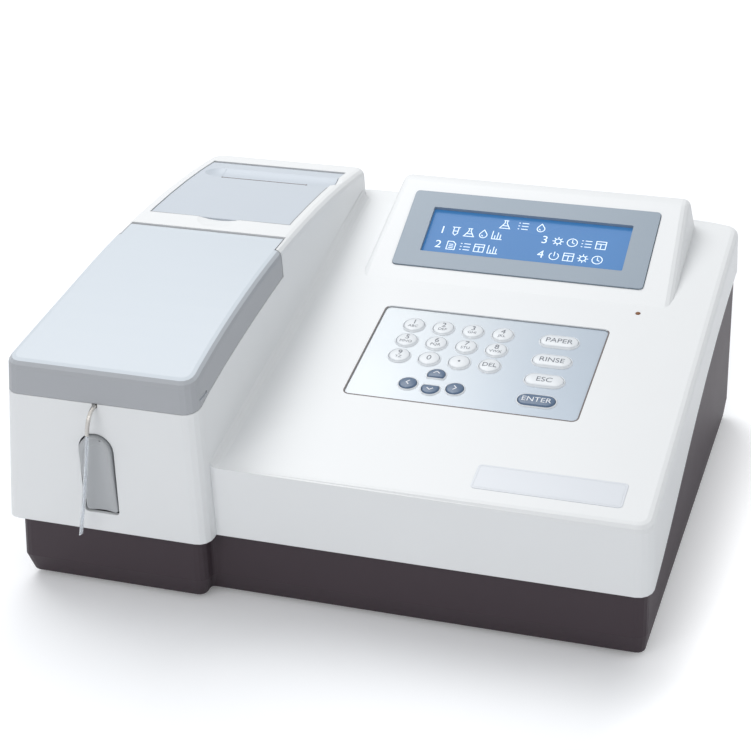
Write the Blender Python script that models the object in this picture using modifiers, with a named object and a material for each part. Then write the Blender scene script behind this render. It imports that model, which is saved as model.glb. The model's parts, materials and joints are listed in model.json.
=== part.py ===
"""Bench chemistry analyser with a hinged sample lid, strip printer, display hood and key panel.

The model stands on z = 0 with its front facing -Y and the middle of its plan over the origin.
While it is built, x runs from the left wall, y from the front wall and z from the bench.
"""
import math

import bmesh
import bpy
from mathutils import Matrix, Vector

# Overall form
CASE_WIDTH = 0.370
CASE_DEPTH = 0.315
BLOCK_WIDTH = 0.113
STEP_BACK = 0.011
WALL = 0.0025
GAP = 0.0003
DRAFT = 0.022
CORNER_RADIUS = 0.009
EDGE_RADIUS = 0.0045

# Lower case
FOOT_HEIGHT = 0.004
FOOT_RADIUS = 0.009
FOOT_INSET = 0.034
BASE_INSET = 0.004
CHAMFER_HEIGHT = 0.0125
CHAMFER_INSET = 0.004
BASE_INSET_RIGHT = 0.0022
CHAMFER_INSET_RIGHT = 0.0015
SPLIT_FRONT = 0.0465
SPLIT_REAR = 0.112
RIM_HEIGHT = 0.005

# Flare of the left wall towards the bench and the front
FLARE_LEAN = 0.080
FLARE_DROP = 0.0045
FLARE_FRONT = 0.0065
FLARE_RUN = 0.100
FLARE_SIDE = 0.020

# Right body and its slope
BODY_FRONT_TOP = 0.0922
BODY_REAR_TOP = 0.1417
CREASE_RADIUS = 0.006

# Left block, as heights along its crown
CROWN_PEAK = 0.1695
CROWN_FRONT_FALL = 0.018
CROWN_REAR_FALL = 0.012
CROWN_PEAK_Y = 0.165

# Sample lid
LID_FRONT_HEIGHT = 0.0202
LID_REAR_HEIGHT = 0.018
LID_DEPTH = 0.145
LID_WALL = 0.0024
LID_REAR_GAP = 0.0011
TONGUE_SIDE = 0.005
TONGUE_END = 0.1625
TONGUE_THICKNESS = 0.003
TONGUE_SINK = 0.0001
HINGE_Y = 0.157
HINGE_DROP = 0.0052
HINGE_PIN_RADIUS = 0.0018
HINGE_BARREL_RADIUS = 0.003
HINGE_PIN_REACH = 0.0022
PIN_CLEARANCE = 0.0003
LUG_THICKNESS = 0.0046

# Sample compartment
DECK_DROP = 0.0133
DECK_THICKNESS = 0.0025
BULKHEAD_Y = 0.1655

# Printer bay and cover
COVER_LEFT = 0.009
COVER_WIDTH = 0.095
COVER_FRONT = 0.183
COVER_LENGTH = 0.108
COVER_THICKNESS = 0.0018
COVER_SINK = 0.0005
COVER_GAP = 0.0005
COVER_HINGE_Y = 0.2865
COVER_BARREL_RADIUS = 0.0024
COVER_PIN_RADIUS = 0.0015
TROUGH_Y = 0.2695
TROUGH_WIDTH = 0.0235
TROUGH_DEPTH = 0.0036
TROUGH_LEFT = 0.0115
TROUGH_RIGHT = 0.1105
TROUGH_PAD_INSET = 0.0055
PAPER_WIDTH = 0.057
SLIT_LENGTH = 0.060
SLIT_WIDTH = 0.0016
NOTCH_RADIUS = 0.014
NOTCH_DEPTH = 0.0016
TRAY_DEPTH = 0.0455
TRAY_WALL = 0.002
TRAY_SIDE = 0.012
TRAY_FRONT = 0.187
TRAY_REAR = 0.2790
TRAY_LIP = 0.004
ROLL_RADIUS = 0.0185

# Display hood
HOOD_LEFT = 0.1445
HOOD_RIGHT = 0.3375
HOOD_TILT = 23.7
HOOD_FACE_Y = 0.2236
HOOD_FACE_Z = 0.1300
HOOD_CREST_Y = 0.2945
HOOD_CREST_DEPTH = 0.0092
HOOD_REAR_RUN = 0.0058
HOOD_FLARE = 0.14
HOOD_RUN_IN = 0.010
BEZEL_LEFT = 0.1575
BEZEL_WIDTH = 0.1645
BEZEL_LENGTH = 0.0659
BEZEL_THICKNESS = 0.0024
BEZEL_PROUD = 0.0008
BEZEL_LIP = 0.004
WINDOW_LEFT = 0.0159
WINDOW_RIGHT = 0.0156
WINDOW_UP = 0.0133
WINDOW_DOWN = 0.0136
WINDOW_WIDTH = BEZEL_WIDTH - WINDOW_LEFT - WINDOW_RIGHT
WINDOW_LENGTH = BEZEL_LENGTH - WINDOW_UP - WINDOW_DOWN
LCD_BORDER = 0.004
LCD_THICKNESS = 0.008

# Key panel
PANEL_LEFT = 0.1674
PANEL_WIDTH = 0.1424
PANEL_UP = 0.0825
PANEL_LENGTH = 0.0917
PANEL_THICKNESS = 0.0014
PANEL_SINK = 0.0006
PANEL_LEDGE = 0.005
PANEL_GAP = 0.0004
KEY_RADIUS = 0.0064
KEY_COLUMN_PITCH = 0.01896
KEY_ROW_PITCH = 0.0161
KEY_MARGIN_LEFT = 0.0225
KEY_MARGIN_TOP = 0.0169
ARROW_RADIUS = 0.0058
ARROW_MARGIN_LEFT = 0.05035
ARROW_MARGIN_LOW = 0.0209
ARROW_SPREAD = 0.01455
ARROW_RISE = 0.0068
PILL_LENGTH = 0.0235
PILL_WIDTH = 0.0112
PILL_MARGIN_RIGHT = 0.0273
PILL_MARGIN_TOP = 0.0175
PILL_PITCH = 0.0198
KEY_CLEARANCE = 0.0003
KEY_PROUD = 0.0016
KEY_TRAVEL = 0.0008
KEY_DEPTH = 0.0038
BOARD_THICKNESS = 0.0016
LED_X = 0.3233
LED_UP = 0.1949
LED_RADIUS = 0.0015

# Aspirator
ARCH_LEFT = 0.0375
ARCH_WIDTH = 0.022
ARCH_HEIGHT = 0.053
ARCH_DROP = 0.0198
ARCH_CORNER = 0.0022
PADDLE_SIDE_GAP = 0.0010
PADDLE_THICKNESS = 0.0034
PADDLE_SCOOP = 0.0017
PADDLE_RIM = 0.0013
PADDLE_PROUD = 0.0042
PADDLE_PIVOT_Y = 0.0065
PADDLE_PIVOT_DROP = 0.0115
PADDLE_PIN_RADIUS = 0.0014
PADDLE_FRONT = -0.0010
PADDLE_PIN_REACH = 0.0023
NEEDLE_X = 0.0505
NEEDLE_RADIUS = 0.0013
TUBE_RADIUS = 0.00115
TIP_HEIGHT = 0.0485

# Flow cell and pump
CELL_X = 0.0505
CELL_Y = 0.046
PUMP_X = 0.080
PUMP_Y = 0.106
PUMP_RADIUS = 0.021
PUMP_HEIGHT = 0.015
TRACK_RADIUS = 0.017
ROLLER_ORBIT = 0.0105
ROLLER_RADIUS = 0.0037
ROLLER_HEIGHT = 0.009
PUMP_TUBE_RADIUS = 0.0011

# Rear panel
FAN_SIZE = 0.060
FAN_DEPTH = 0.015
FAN_X = 0.215
FAN_Z = 0.058
INLET_X = 0.320
INLET_Z = 0.040
INLET_WIDTH = 0.0270
INLET_HEIGHT = 0.0195
SWITCH_Z = 0.072
SWITCH_WIDTH = 0.0130
SWITCH_HEIGHT = 0.0190
ROCKER_PIN_RADIUS = 0.0010
PORT_X = 0.125
PORT_Z = 0.045
PORT_WIDTH = 0.0184
PORT_HEIGHT = 0.0104

# Boards inside
BOARD_LEFT = 0.135
BOARD_WIDTH = 0.115
BOARD_FRONT = 0.055
BOARD_DEPTH = 0.150
BOARD_LEVEL = 0.0145
POST_INSET = 0.008
POST_RADIUS = 0.003
SUPPLY_LEFT = 0.262
SUPPLY_WIDTH = 0.080
SUPPLY_FRONT = 0.205
SUPPLY_DEPTH = 0.075
SUPPLY_HEIGHT = 0.038

CROWN_FRONT = CROWN_PEAK - CROWN_FRONT_FALL
CROWN_REAR = CROWN_PEAK - CROWN_REAR_FALL
FLARE_TOP = CROWN_FRONT - FLARE_DROP
LID_SEAM_FRONT = CROWN_FRONT - LID_FRONT_HEIGHT
LID_SEAM_REAR = CROWN_PEAK - LID_REAR_HEIGHT
DECK_TOP = LID_SEAM_FRONT - DECK_DROP
TRAY_FLOOR = CROWN_REAR - TRAY_DEPTH
ARCH_TOP = LID_SEAM_FRONT - ARCH_DROP
ARCH_BOTTOM = ARCH_TOP - ARCH_HEIGHT
PADDLE_PIVOT_Z = ARCH_TOP - PADDLE_PIVOT_DROP
PANEL_RIGHT = PANEL_LEFT + PANEL_WIDTH
PANEL_TOP = PANEL_UP + PANEL_LENGTH
KEY_FIRST_X = PANEL_LEFT + KEY_MARGIN_LEFT
KEY_FIRST_UP = PANEL_TOP - KEY_MARGIN_TOP
ARROW_X = PANEL_LEFT + ARROW_MARGIN_LEFT
ARROW_UP = PANEL_UP + ARROW_MARGIN_LOW
PILL_X = PANEL_RIGHT - PILL_MARGIN_RIGHT
PILL_TOP_UP = PANEL_TOP - PILL_MARGIN_TOP
SLOPE = math.atan2(BODY_REAR_TOP - BODY_FRONT_TOP, CASE_DEPTH - STEP_BACK)
TILT = math.radians(HOOD_TILT)
FAR = 0.6


def start_clean():
    for obj in list(bpy.data.objects):
        bpy.data.objects.remove(obj, do_unlink=True)


start_clean()
BENCH = bpy.data.collections.new("chemistry_analyser")
bpy.context.scene.collection.children.link(BENCH)


def add_object(name, data):
    obj = bpy.data.objects.new(name, data)
    BENCH.objects.link(obj)
    return obj


def finish_mesh(bm, name):
    bmesh.ops.recalc_face_normals(bm, faces=bm.faces)
    mesh = bpy.data.meshes.new(name)
    bm.to_mesh(mesh)
    bm.free()
    return add_object(name, mesh)


def evaluated_mesh(obj):
    graph = bpy.context.evaluated_depsgraph_get()
    return bpy.data.meshes.new_from_object(obj.evaluated_get(graph))


def clean_mesh(mesh):
    bm = bmesh.new()
    bm.from_mesh(mesh)
    bmesh.ops.remove_doubles(bm, verts=bm.verts, dist=0.000002)
    bmesh.ops.dissolve_limit(
        bm, angle_limit=math.radians(0.05), verts=bm.verts, edges=bm.edges)
    bmesh.ops.recalc_face_normals(bm, faces=bm.faces)
    bm.to_mesh(mesh)
    bm.free()


def weld(mesh):
    """Merges the hair-thin edges that a cut can leave."""
    bm = bmesh.new()
    bm.from_mesh(mesh)
    bmesh.ops.remove_doubles(bm, verts=bm.verts, dist=0.000001)
    bmesh.ops.dissolve_degenerate(bm, dist=0.000001, edges=bm.edges)
    bm.to_mesh(mesh)
    bm.free()


def as_mesh(source, name):
    mesh = evaluated_mesh(source)
    mesh.transform(source.matrix_world)
    clean_mesh(mesh)
    bpy.data.objects.remove(source, do_unlink=True)
    return add_object(name, mesh)


def combine(target, tool, operation):
    modifier = target.modifiers.new("combine", "BOOLEAN")
    modifier.operation = operation
    modifier.solver = "EXACT"
    modifier.object = tool
    mesh = evaluated_mesh(target)
    target.modifiers.clear()
    target.data = mesh
    bpy.data.objects.remove(tool, do_unlink=True)
    weld(mesh)
    return target


def cut(target, *tools):
    for tool in tools:
        combine(target, tool, "DIFFERENCE")
    return target


def join(target, *tools):
    for tool in tools:
        combine(target, tool, "UNION")
    return target


def common(target, tool):
    return combine(target, tool, "INTERSECT")


def copy_of(obj):
    return add_object(obj.name, obj.data.copy())


def rounded(corners, steps=4):
    """An outline from (x, y, radius) corners, each turned into an arc."""
    outline = []
    for index, (x, y, radius) in enumerate(corners):
        here = Vector((x, y))
        before = (Vector(corners[index - 1][:2]) - here).normalized()
        after = (Vector(corners[(index + 1) % len(corners)][:2]) - here).normalized()
        if radius <= 0:
            outline.append((x, y))
            continue
        half = before.angle(after) / 2
        centre = here + (before + after).normalized() * (radius / math.sin(half))
        first = here + before * (radius / math.tan(half)) - centre
        last = here + after * (radius / math.tan(half)) - centre
        start = math.atan2(first.y, first.x)
        turn = math.remainder(math.atan2(last.y, last.x) - start, math.tau)
        for step in range(steps + 1):
            angle = start + turn * step / steps
            outline.append((centre.x + radius * math.cos(angle),
                            centre.y + radius * math.sin(angle)))
    return outline


def rectangle(left, right, low, high, radius=0.0, steps=4):
    return rounded([(left, low, radius), (right, low, radius),
                    (right, high, radius), (left, high, radius)], steps)


def circle(x, y, radius, steps=20):
    return [(x + radius * math.cos(math.tau * k / steps),
             y + radius * math.sin(math.tau * k / steps)) for k in range(steps)]


def bezier(points, steps):
    p0, p1, p2, p3 = (Vector(p) for p in points)
    curve = []
    for step in range(steps + 1):
        t = step / steps
        u = 1 - t
        p = p0 * u ** 3 + p1 * 3 * u * u * t + p2 * 3 * u * t * t + p3 * t ** 3
        curve.append((p.x, p.y))
    return curve


# A flat outline lies in XY; these turn it into YZ for "X" and into XZ for "Y".
TURN = {
    "X": Matrix(((0, 0, 1, 0), (1, 0, 0, 0), (0, 1, 0, 0), (0, 0, 0, 1))),
    "Y": Matrix(((1, 0, 0, 0), (0, 0, -1, 0), (0, 1, 0, 0), (0, 0, 0, 1))),
    "Z": Matrix.Identity(4),
}


def prism(outline, axis, low, high, name="prism"):
    """A flat outline pushed along an axis from low to high."""
    if axis == "Y":
        low, high = -high, -low
    data = bpy.data.curves.new(name, "CURVE")
    data.dimensions = "2D"
    data.fill_mode = "BOTH"
    data.extrude = (high - low) / 2
    spline = data.splines.new("POLY")
    spline.points.add(len(outline) - 1)
    for point, (a, b) in zip(spline.points, outline):
        point.co = (a, b, 0, 1)
    spline.use_cyclic_u = True
    source = add_object(name, data)
    obj = as_mesh(source, name)
    obj.data.transform(TURN[axis] @ Matrix.Translation((0, 0, (low + high) / 2)))
    return obj


def loft(sections, name="loft"):
    """A closed solid through level outlines of as many points each."""
    bm = bmesh.new()
    rings = [[bm.verts.new((x, y, z)) for x, y in outline] for outline, z in sections]
    for lower, upper in zip(rings, rings[1:]):
        for k in range(len(lower)):
            after = (k + 1) % len(lower)
            bm.faces.new((lower[k], lower[after], upper[after], upper[k]))
    bm.faces.new(list(reversed(rings[0])))
    bm.faces.new(rings[-1])
    return finish_mesh(bm, name)


def box(x0, x1, y0, y1, z0, z1, name="box"):
    bm = bmesh.new()
    bmesh.ops.create_cube(bm, size=1)
    bmesh.ops.scale(bm, vec=(x1 - x0, y1 - y0, z1 - z0), verts=bm.verts)
    bmesh.ops.translate(bm, vec=((x0 + x1) / 2, (y0 + y1) / 2, (z0 + z1) / 2), verts=bm.verts)
    return finish_mesh(bm, name)


def rod(axis, a, b, low, high, radius, steps=16, name="rod"):
    """A cylinder along an axis; a and b are its centre in the plane across it."""
    bm = bmesh.new()
    bmesh.ops.create_cone(bm, cap_ends=True, segments=steps, radius1=radius, radius2=radius,
                          depth=high - low)
    mesh_middle = (low + high) / 2
    turn = {"X": Matrix.Rotation(math.pi / 2, 4, "Y"), "Y": Matrix.Rotation(math.pi / 2, 4, "X"),
            "Z": Matrix.Identity(4)}[axis]
    place = {"X": (mesh_middle, a, b), "Y": (a, mesh_middle, b), "Z": (a, b, mesh_middle)}[axis]
    bmesh.ops.transform(bm, matrix=Matrix.Translation(place) @ turn, verts=bm.verts)
    return finish_mesh(bm, name)


def turned(profile, name="turned", steps=24):
    """A profile of (radius, z) points, from the top down its outer side, turned about Z."""
    bm = bmesh.new()
    verts = [bm.verts.new((radius, 0, z)) for radius, z in profile]
    for first, second in zip(verts, verts[1:]):
        bm.edges.new((first, second))
    mesh = bpy.data.meshes.new(name)
    bm.to_mesh(mesh)
    bm.free()
    source = add_object(name, mesh)
    screw = source.modifiers.new("turn", "SCREW")
    screw.steps = steps
    screw.render_steps = steps
    screw.use_merge_vertices = True
    screw.merge_threshold = 0.00001
    return as_mesh(source, name)


def wire(points, radius, name="wire"):
    """A round tube with closed ends along a chain of points."""
    data = bpy.data.curves.new(name, "CURVE")
    data.dimensions = "3D"
    data.bevel_depth = radius
    data.bevel_resolution = 2
    data.use_fill_caps = True
    spline = data.splines.new("POLY")
    spline.points.add(len(points) - 1)
    for point, (x, y, z) in zip(spline.points, points):
        point.co = (x, y, z, 1)
    return as_mesh(add_object(name, data), name)


def smooth_path(points, spacing):
    """Evenly spaced points on a smooth curve through the given ones."""
    nodes = [Vector(p) for p in points]
    nodes = [nodes[0] * 2 - nodes[1]] + nodes + [nodes[-1] * 2 - nodes[-2]]
    dense = []
    for k in range(1, len(nodes) - 2):
        p0, p1, p2, p3 = nodes[k - 1:k + 3]
        for step in range(20):
            t = step / 20
            dense.append(0.5 * (p1 * 2 + (p2 - p0) * t + (p0 * 2 - p1 * 5 + p2 * 4 - p3) * t * t
                                + (p1 * 3 - p0 - p2 * 3 + p3) * t ** 3))
    dense.append(nodes[-2])
    path = [dense[0]]
    for p in dense[1:-1]:
        if (p - path[-1]).length >= spacing and (p - dense[-1]).length >= spacing / 2:
            path.append(p)
    path.append(dense[-1])
    return [tuple(p) for p in path]


def soften(obj, radius, pick, segments=3, sharp=40):
    """Rounds the sharp edges whose two ends both satisfy pick."""
    bm = bmesh.new()
    bm.from_mesh(obj.data)
    bmesh.ops.remove_doubles(bm, verts=bm.verts, dist=0.000002)
    bmesh.ops.dissolve_limit(
        bm, angle_limit=math.radians(0.05), verts=bm.verts, edges=bm.edges)
    edges = [e for e in bm.edges
             if len(e.link_faces) == 2 and abs(e.calc_face_angle()) > math.radians(sharp)
             and all(pick(v.co) for v in e.verts)]
    bmesh.ops.bevel(bm, geom=edges, offset=radius, offset_type="OFFSET", segments=segments,
                    profile=0.5, affect="EDGES", clamp_overlap=False)
    bmesh.ops.remove_doubles(bm, verts=bm.verts, dist=0.000002)
    bmesh.ops.connect_verts_nonplanar(bm, angle_limit=math.radians(0.05), faces=bm.faces)
    bmesh.ops.recalc_face_normals(bm, faces=bm.faces)
    bm.to_mesh(obj.data)
    bm.free()
    return obj


def shift(obj, matrix):
    obj.data.transform(matrix)
    return obj


def base_outline(inset, right, radius=CORNER_RADIUS):
    """The stepped plan of both blocks, moved in from the walls by inset, at the right by right."""
    r = max(radius - inset / 2, 0.002)
    return rounded([
        (inset, inset, r), (BLOCK_WIDTH - inset, inset, r),
        (BLOCK_WIDTH - inset, STEP_BACK + inset, r / 2),
        (CASE_WIDTH - right, STEP_BACK + inset, r),
        (CASE_WIDTH - right, CASE_DEPTH - inset, r), (inset, CASE_DEPTH - inset, r)])


def flare(obj):
    """Leans the left wall outwards, more towards the bench and towards the front."""
    bm = bmesh.new()
    bm.from_mesh(obj.data)
    planes = [((0, FLARE_RUN * k / 4, 0), (0, 1, 0)) for k in (1, 2, 3, 4)]
    for place, normal in planes + [((0, 0, FLARE_TOP), (0, 0, 1))]:
        faces = [f for f in bm.faces if all(v.co.x < FLARE_SIDE for v in f.verts)]
        edges = [e for e in bm.edges if any(f in faces for f in e.link_faces)]
        verts = [v for v in bm.verts if any(f in faces for f in v.link_faces)]
        bmesh.ops.bisect_plane(bm, geom=verts + edges + faces, plane_co=place, plane_no=normal)
    for vertex in bm.verts:
        if vertex.co.x < FLARE_SIDE:
            forward = max(1 - vertex.co.y / FLARE_RUN, 0.0)
            vertex.co.x -= (FLARE_FRONT * forward ** 2
                            + FLARE_LEAN * max(FLARE_TOP - vertex.co.z, 0.0))
    bmesh.ops.connect_verts_nonplanar(bm, angle_limit=math.radians(0.05), faces=bm.faces)
    bmesh.ops.recalc_face_normals(bm, faces=bm.faces)
    bm.to_mesh(obj.data)
    bm.free()
    return obj


def split_curve(drop=0.0):
    """The seam between the two case halves, seen from the side, front to rear."""
    rise = SPLIT_REAR - SPLIT_FRONT
    return [(y, z - drop) for y, z in bezier([
        (0.0, SPLIT_FRONT), (CASE_DEPTH * 0.22, SPLIT_FRONT + rise * 0.01),
        (CASE_DEPTH * 0.48, SPLIT_FRONT + rise * 0.88), (CASE_DEPTH, SPLIT_REAR)], 10)]


def below_split(offset):
    """Everything under the seam moved up by offset."""
    curve = split_curve(-offset)
    outline = ([(-FAR, -FAR), (FAR, -FAR), (FAR, curve[-1][1])] + list(reversed(curve))
               + [(-FAR, curve[0][1])])
    return prism(outline, "X", -FAR, FAR)


def crown_curve(drop=0.0):
    """The top of the left block, seen from the side, front to rear."""
    rise = CROWN_PEAK - CROWN_FRONT
    fall = CROWN_PEAK - CROWN_REAR
    rear_run = CASE_DEPTH - CROWN_PEAK_Y
    front = bezier([(0.0, CROWN_FRONT), (CROWN_PEAK_Y * 0.30, CROWN_FRONT + rise * 0.67),
                    (CROWN_PEAK_Y * 0.67, CROWN_PEAK), (CROWN_PEAK_Y, CROWN_PEAK)], 9)
    rear = bezier([(CROWN_PEAK_Y, CROWN_PEAK), (CROWN_PEAK_Y + rear_run * 0.33, CROWN_PEAK),
                   (CROWN_PEAK_Y + rear_run * 0.70, CROWN_PEAK - fall * 0.29),
                   (CASE_DEPTH, CROWN_REAR)], 6)
    return [(y, z - drop) for y, z in front + rear[1:]]


def crown_height(y, drop=0.0):
    curve = crown_curve(drop)
    for (y0, z0), (y1, z1) in zip(curve, curve[1:]):
        if y <= y1:
            return z0 + (z1 - z0) * (y - y0) / (y1 - y0)
    return curve[-1][1]


def crown_band(y0, y1, top_drop, bottom_drop):
    """A side outline between two copies of the crown line."""
    stations = [y0] + [y for y, _ in crown_curve() if y0 < y < y1] + [y1]
    top = [(y, crown_height(y, top_drop)) for y in stations]
    bottom = [(y, crown_height(y, bottom_drop)) for y in reversed(stations)]
    return top + bottom


def drafted(x0, x1, y0, y1, radius, low, high, level, steps=4):
    """An upright block whose walls lean out towards the seam; it has its true plan at level."""
    def section(z):
        lean = (level - z) * DRAFT
        return rectangle(x0 - lean, x1 + lean, y0 - lean, y1 + lean, radius, steps), z
    return loft([section(low), section(high)])


SPLIT_LOW = SPLIT_FRONT - 0.006
BLOCK_LEVEL = LID_SEAM_FRONT
BODY_LEVEL = BODY_FRONT_TOP


def plain_block(inset):
    """The left block before its flare, moved in by inset."""
    body = drafted(inset, BLOCK_WIDTH - inset, inset, CASE_DEPTH - inset,
                   max(CORNER_RADIUS - inset, 0.001), SPLIT_LOW, CROWN_PEAK + 0.02, BLOCK_LEVEL)
    curve = crown_curve(inset)
    outline = ([(-FAR, -FAR), (FAR, -FAR), (FAR, curve[-1][1])] + list(reversed(curve))
               + [(-FAR, curve[0][1])])
    return common(body, prism(outline, "X", -FAR, FAR))


def left_block(inset):
    return flare(plain_block(inset))


def body_top(y):
    return BODY_FRONT_TOP + math.tan(SLOPE) * (y - STEP_BACK)


BODY_FRAME = Matrix.Translation((0, STEP_BACK, BODY_FRONT_TOP)) @ Matrix.Rotation(SLOPE, 4, "X")
HOOD_FRAME = Matrix.Translation((0, HOOD_FACE_Y, HOOD_FACE_Z)) @ Matrix.Rotation(TILT, 4, "X")


def right_body(inset, crease):
    """The sloping body; its top turns up into the left block's wall with a crease radius."""
    left = BLOCK_WIDTH - 0.008 + inset
    body = drafted(left, CASE_WIDTH - inset, STEP_BACK + inset, CASE_DEPTH - GAP * 2 - inset,
                   max(CORNER_RADIUS - inset, 0.001), SPLIT_LOW, BODY_REAR_TOP + 0.02, BODY_LEVEL)
    outline = [(-FAR, -FAR), (FAR, -FAR), (FAR, -inset)]
    if crease > 0:
        for step in range(5):
            angle = math.pi / 2 * step / 4
            outline.append((BLOCK_WIDTH + crease * (1 - math.sin(angle)),
                            crease * (1 - math.cos(angle))))
        outline.append((-FAR, crease))
    else:
        outline.append((-FAR, -inset))
    cap = shift(prism(outline, "Y", -FAR, FAR), BODY_FRAME)
    return common(body, cap)


def hood(inset, buried):
    """The raised display hood, as a side outline pushed across and flared towards the body."""
    def face(y):
        return HOOD_FACE_Z + math.tan(TILT) * (y - HOOD_FACE_Y) - inset / math.cos(TILT)
    foot_y = ((HOOD_FACE_Z - math.tan(TILT) * HOOD_FACE_Y
               - (BODY_FRONT_TOP - math.tan(SLOPE) * STEP_BACK))
              / (math.tan(SLOPE) - math.tan(TILT)))
    start = foot_y - HOOD_RUN_IN + inset * 2
    crest = HOOD_CREST_Y - inset / 2
    top = face(crest)
    back = HOOD_CREST_Y + HOOD_CREST_DEPTH - inset
    outline = [
        (start, face(start)), (crest, top), (back, top),
        (back + HOOD_REAR_RUN, body_top(back + HOOD_REAR_RUN) - buried),
        (start, body_top(start) - buried - HOOD_RUN_IN)]
    obj = prism(outline, "X", HOOD_LEFT + inset, HOOD_RIGHT - inset)
    middle = (HOOD_LEFT + HOOD_RIGHT) / 2
    for vertex in obj.data.vertices:
        side = math.copysign(1.0, vertex.co.x - middle)
        vertex.co.x += side * (top - vertex.co.z) * HOOD_FLARE
    return obj


def hood_box(x0, x1, v0, v1, n0, n1, radius=0.0):
    return shift(prism(rectangle(x0, x1, v0, v1, radius, 3), "Z", n0, n1), HOOD_FRAME)


def panel_box(x0, x1, v0, v1, n0, n1, radius=0.0):
    return shift(prism(rectangle(x0, x1, v0, v1, radius, 3), "Z", n0, n1), BODY_FRAME)


def lid_region(drop, rear):
    """Everything in front of rear and above the lid seam moved down by drop."""
    rise = LID_SEAM_REAR - LID_SEAM_FRONT
    seam = [(y, z - drop) for y, z in bezier([
        (0.0, LID_SEAM_FRONT), (LID_DEPTH * 0.28, LID_SEAM_FRONT + rise * 0.55),
        (LID_DEPTH * 0.70, LID_SEAM_FRONT + rise * 0.82), (LID_DEPTH, LID_SEAM_REAR)], 6)]
    end = (rear, seam[-1][1])
    outline = [(-FAR, seam[0][1])] + seam[:-1] + [end, (rear, FAR), (-FAR, FAR)]
    return prism(outline, "X", -FAR, FAR)


HINGE_Z = crown_height(HINGE_Y) - HINGE_DROP
TONGUE_LEFT = TONGUE_SIDE
TONGUE_RIGHT = BLOCK_WIDTH - TONGUE_SIDE
COVER_RIGHT = COVER_LEFT + COVER_WIDTH
COVER_REAR = COVER_FRONT + COVER_LENGTH
COVER_BOTTOM = COVER_SINK + COVER_THICKNESS
COVER_HINGE_Z = crown_height(COVER_HINGE_Y) - COVER_BOTTOM - COVER_BARREL_RADIUS + 0.0006


def lens_arc(half, depth, steps):
    """Half of a shallow bowl's section, from its rim in to its lowest point."""
    radius = (half * half + depth * depth) / (2 * depth)
    reach = math.asin(half / radius)
    arc = []
    for step in range(steps + 1):
        angle = reach * (1 - step / steps)
        arc.append((radius * math.sin(angle), radius - depth - radius * math.cos(angle)))
    return arc


def lens(x, y, z, half, depth, steps=6):
    """A bowl-shaped cutter whose rim is at height z."""
    profile = [(0.0, depth * 3), (half, depth * 3)] + lens_arc(half, depth, steps)
    return shift(turned(profile, "lens", 28), Matrix.Translation((x, y, z)))


def trough_tool():
    """A shallow groove with round ends: a pushed lens section and a turned lens at each end."""
    half = TROUGH_WIDTH / 2
    z = crown_height(TROUGH_Y)
    arc = lens_arc(half, TROUGH_DEPTH, 6)
    section = ([(half, TROUGH_DEPTH * 3)] + arc + [(-x, h) for x, h in reversed(arc[:-1])]
               + [(-half, TROUGH_DEPTH * 3)])
    tool = prism([(TROUGH_Y + a, z + h) for a, h in reversed(section)], "X",
                 TROUGH_LEFT + half, TROUGH_RIGHT - half)
    for x in (TROUGH_LEFT + half, TROUGH_RIGHT - half):
        join(tool, lens(x, TROUGH_Y, z, half * 0.985, TROUGH_DEPTH * 0.975))
    return tool


def notch_tool():
    return lens(COVER_LEFT + COVER_WIDTH / 2, COVER_FRONT, crown_height(COVER_FRONT),
                NOTCH_RADIUS, NOTCH_DEPTH, 4)


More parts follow.
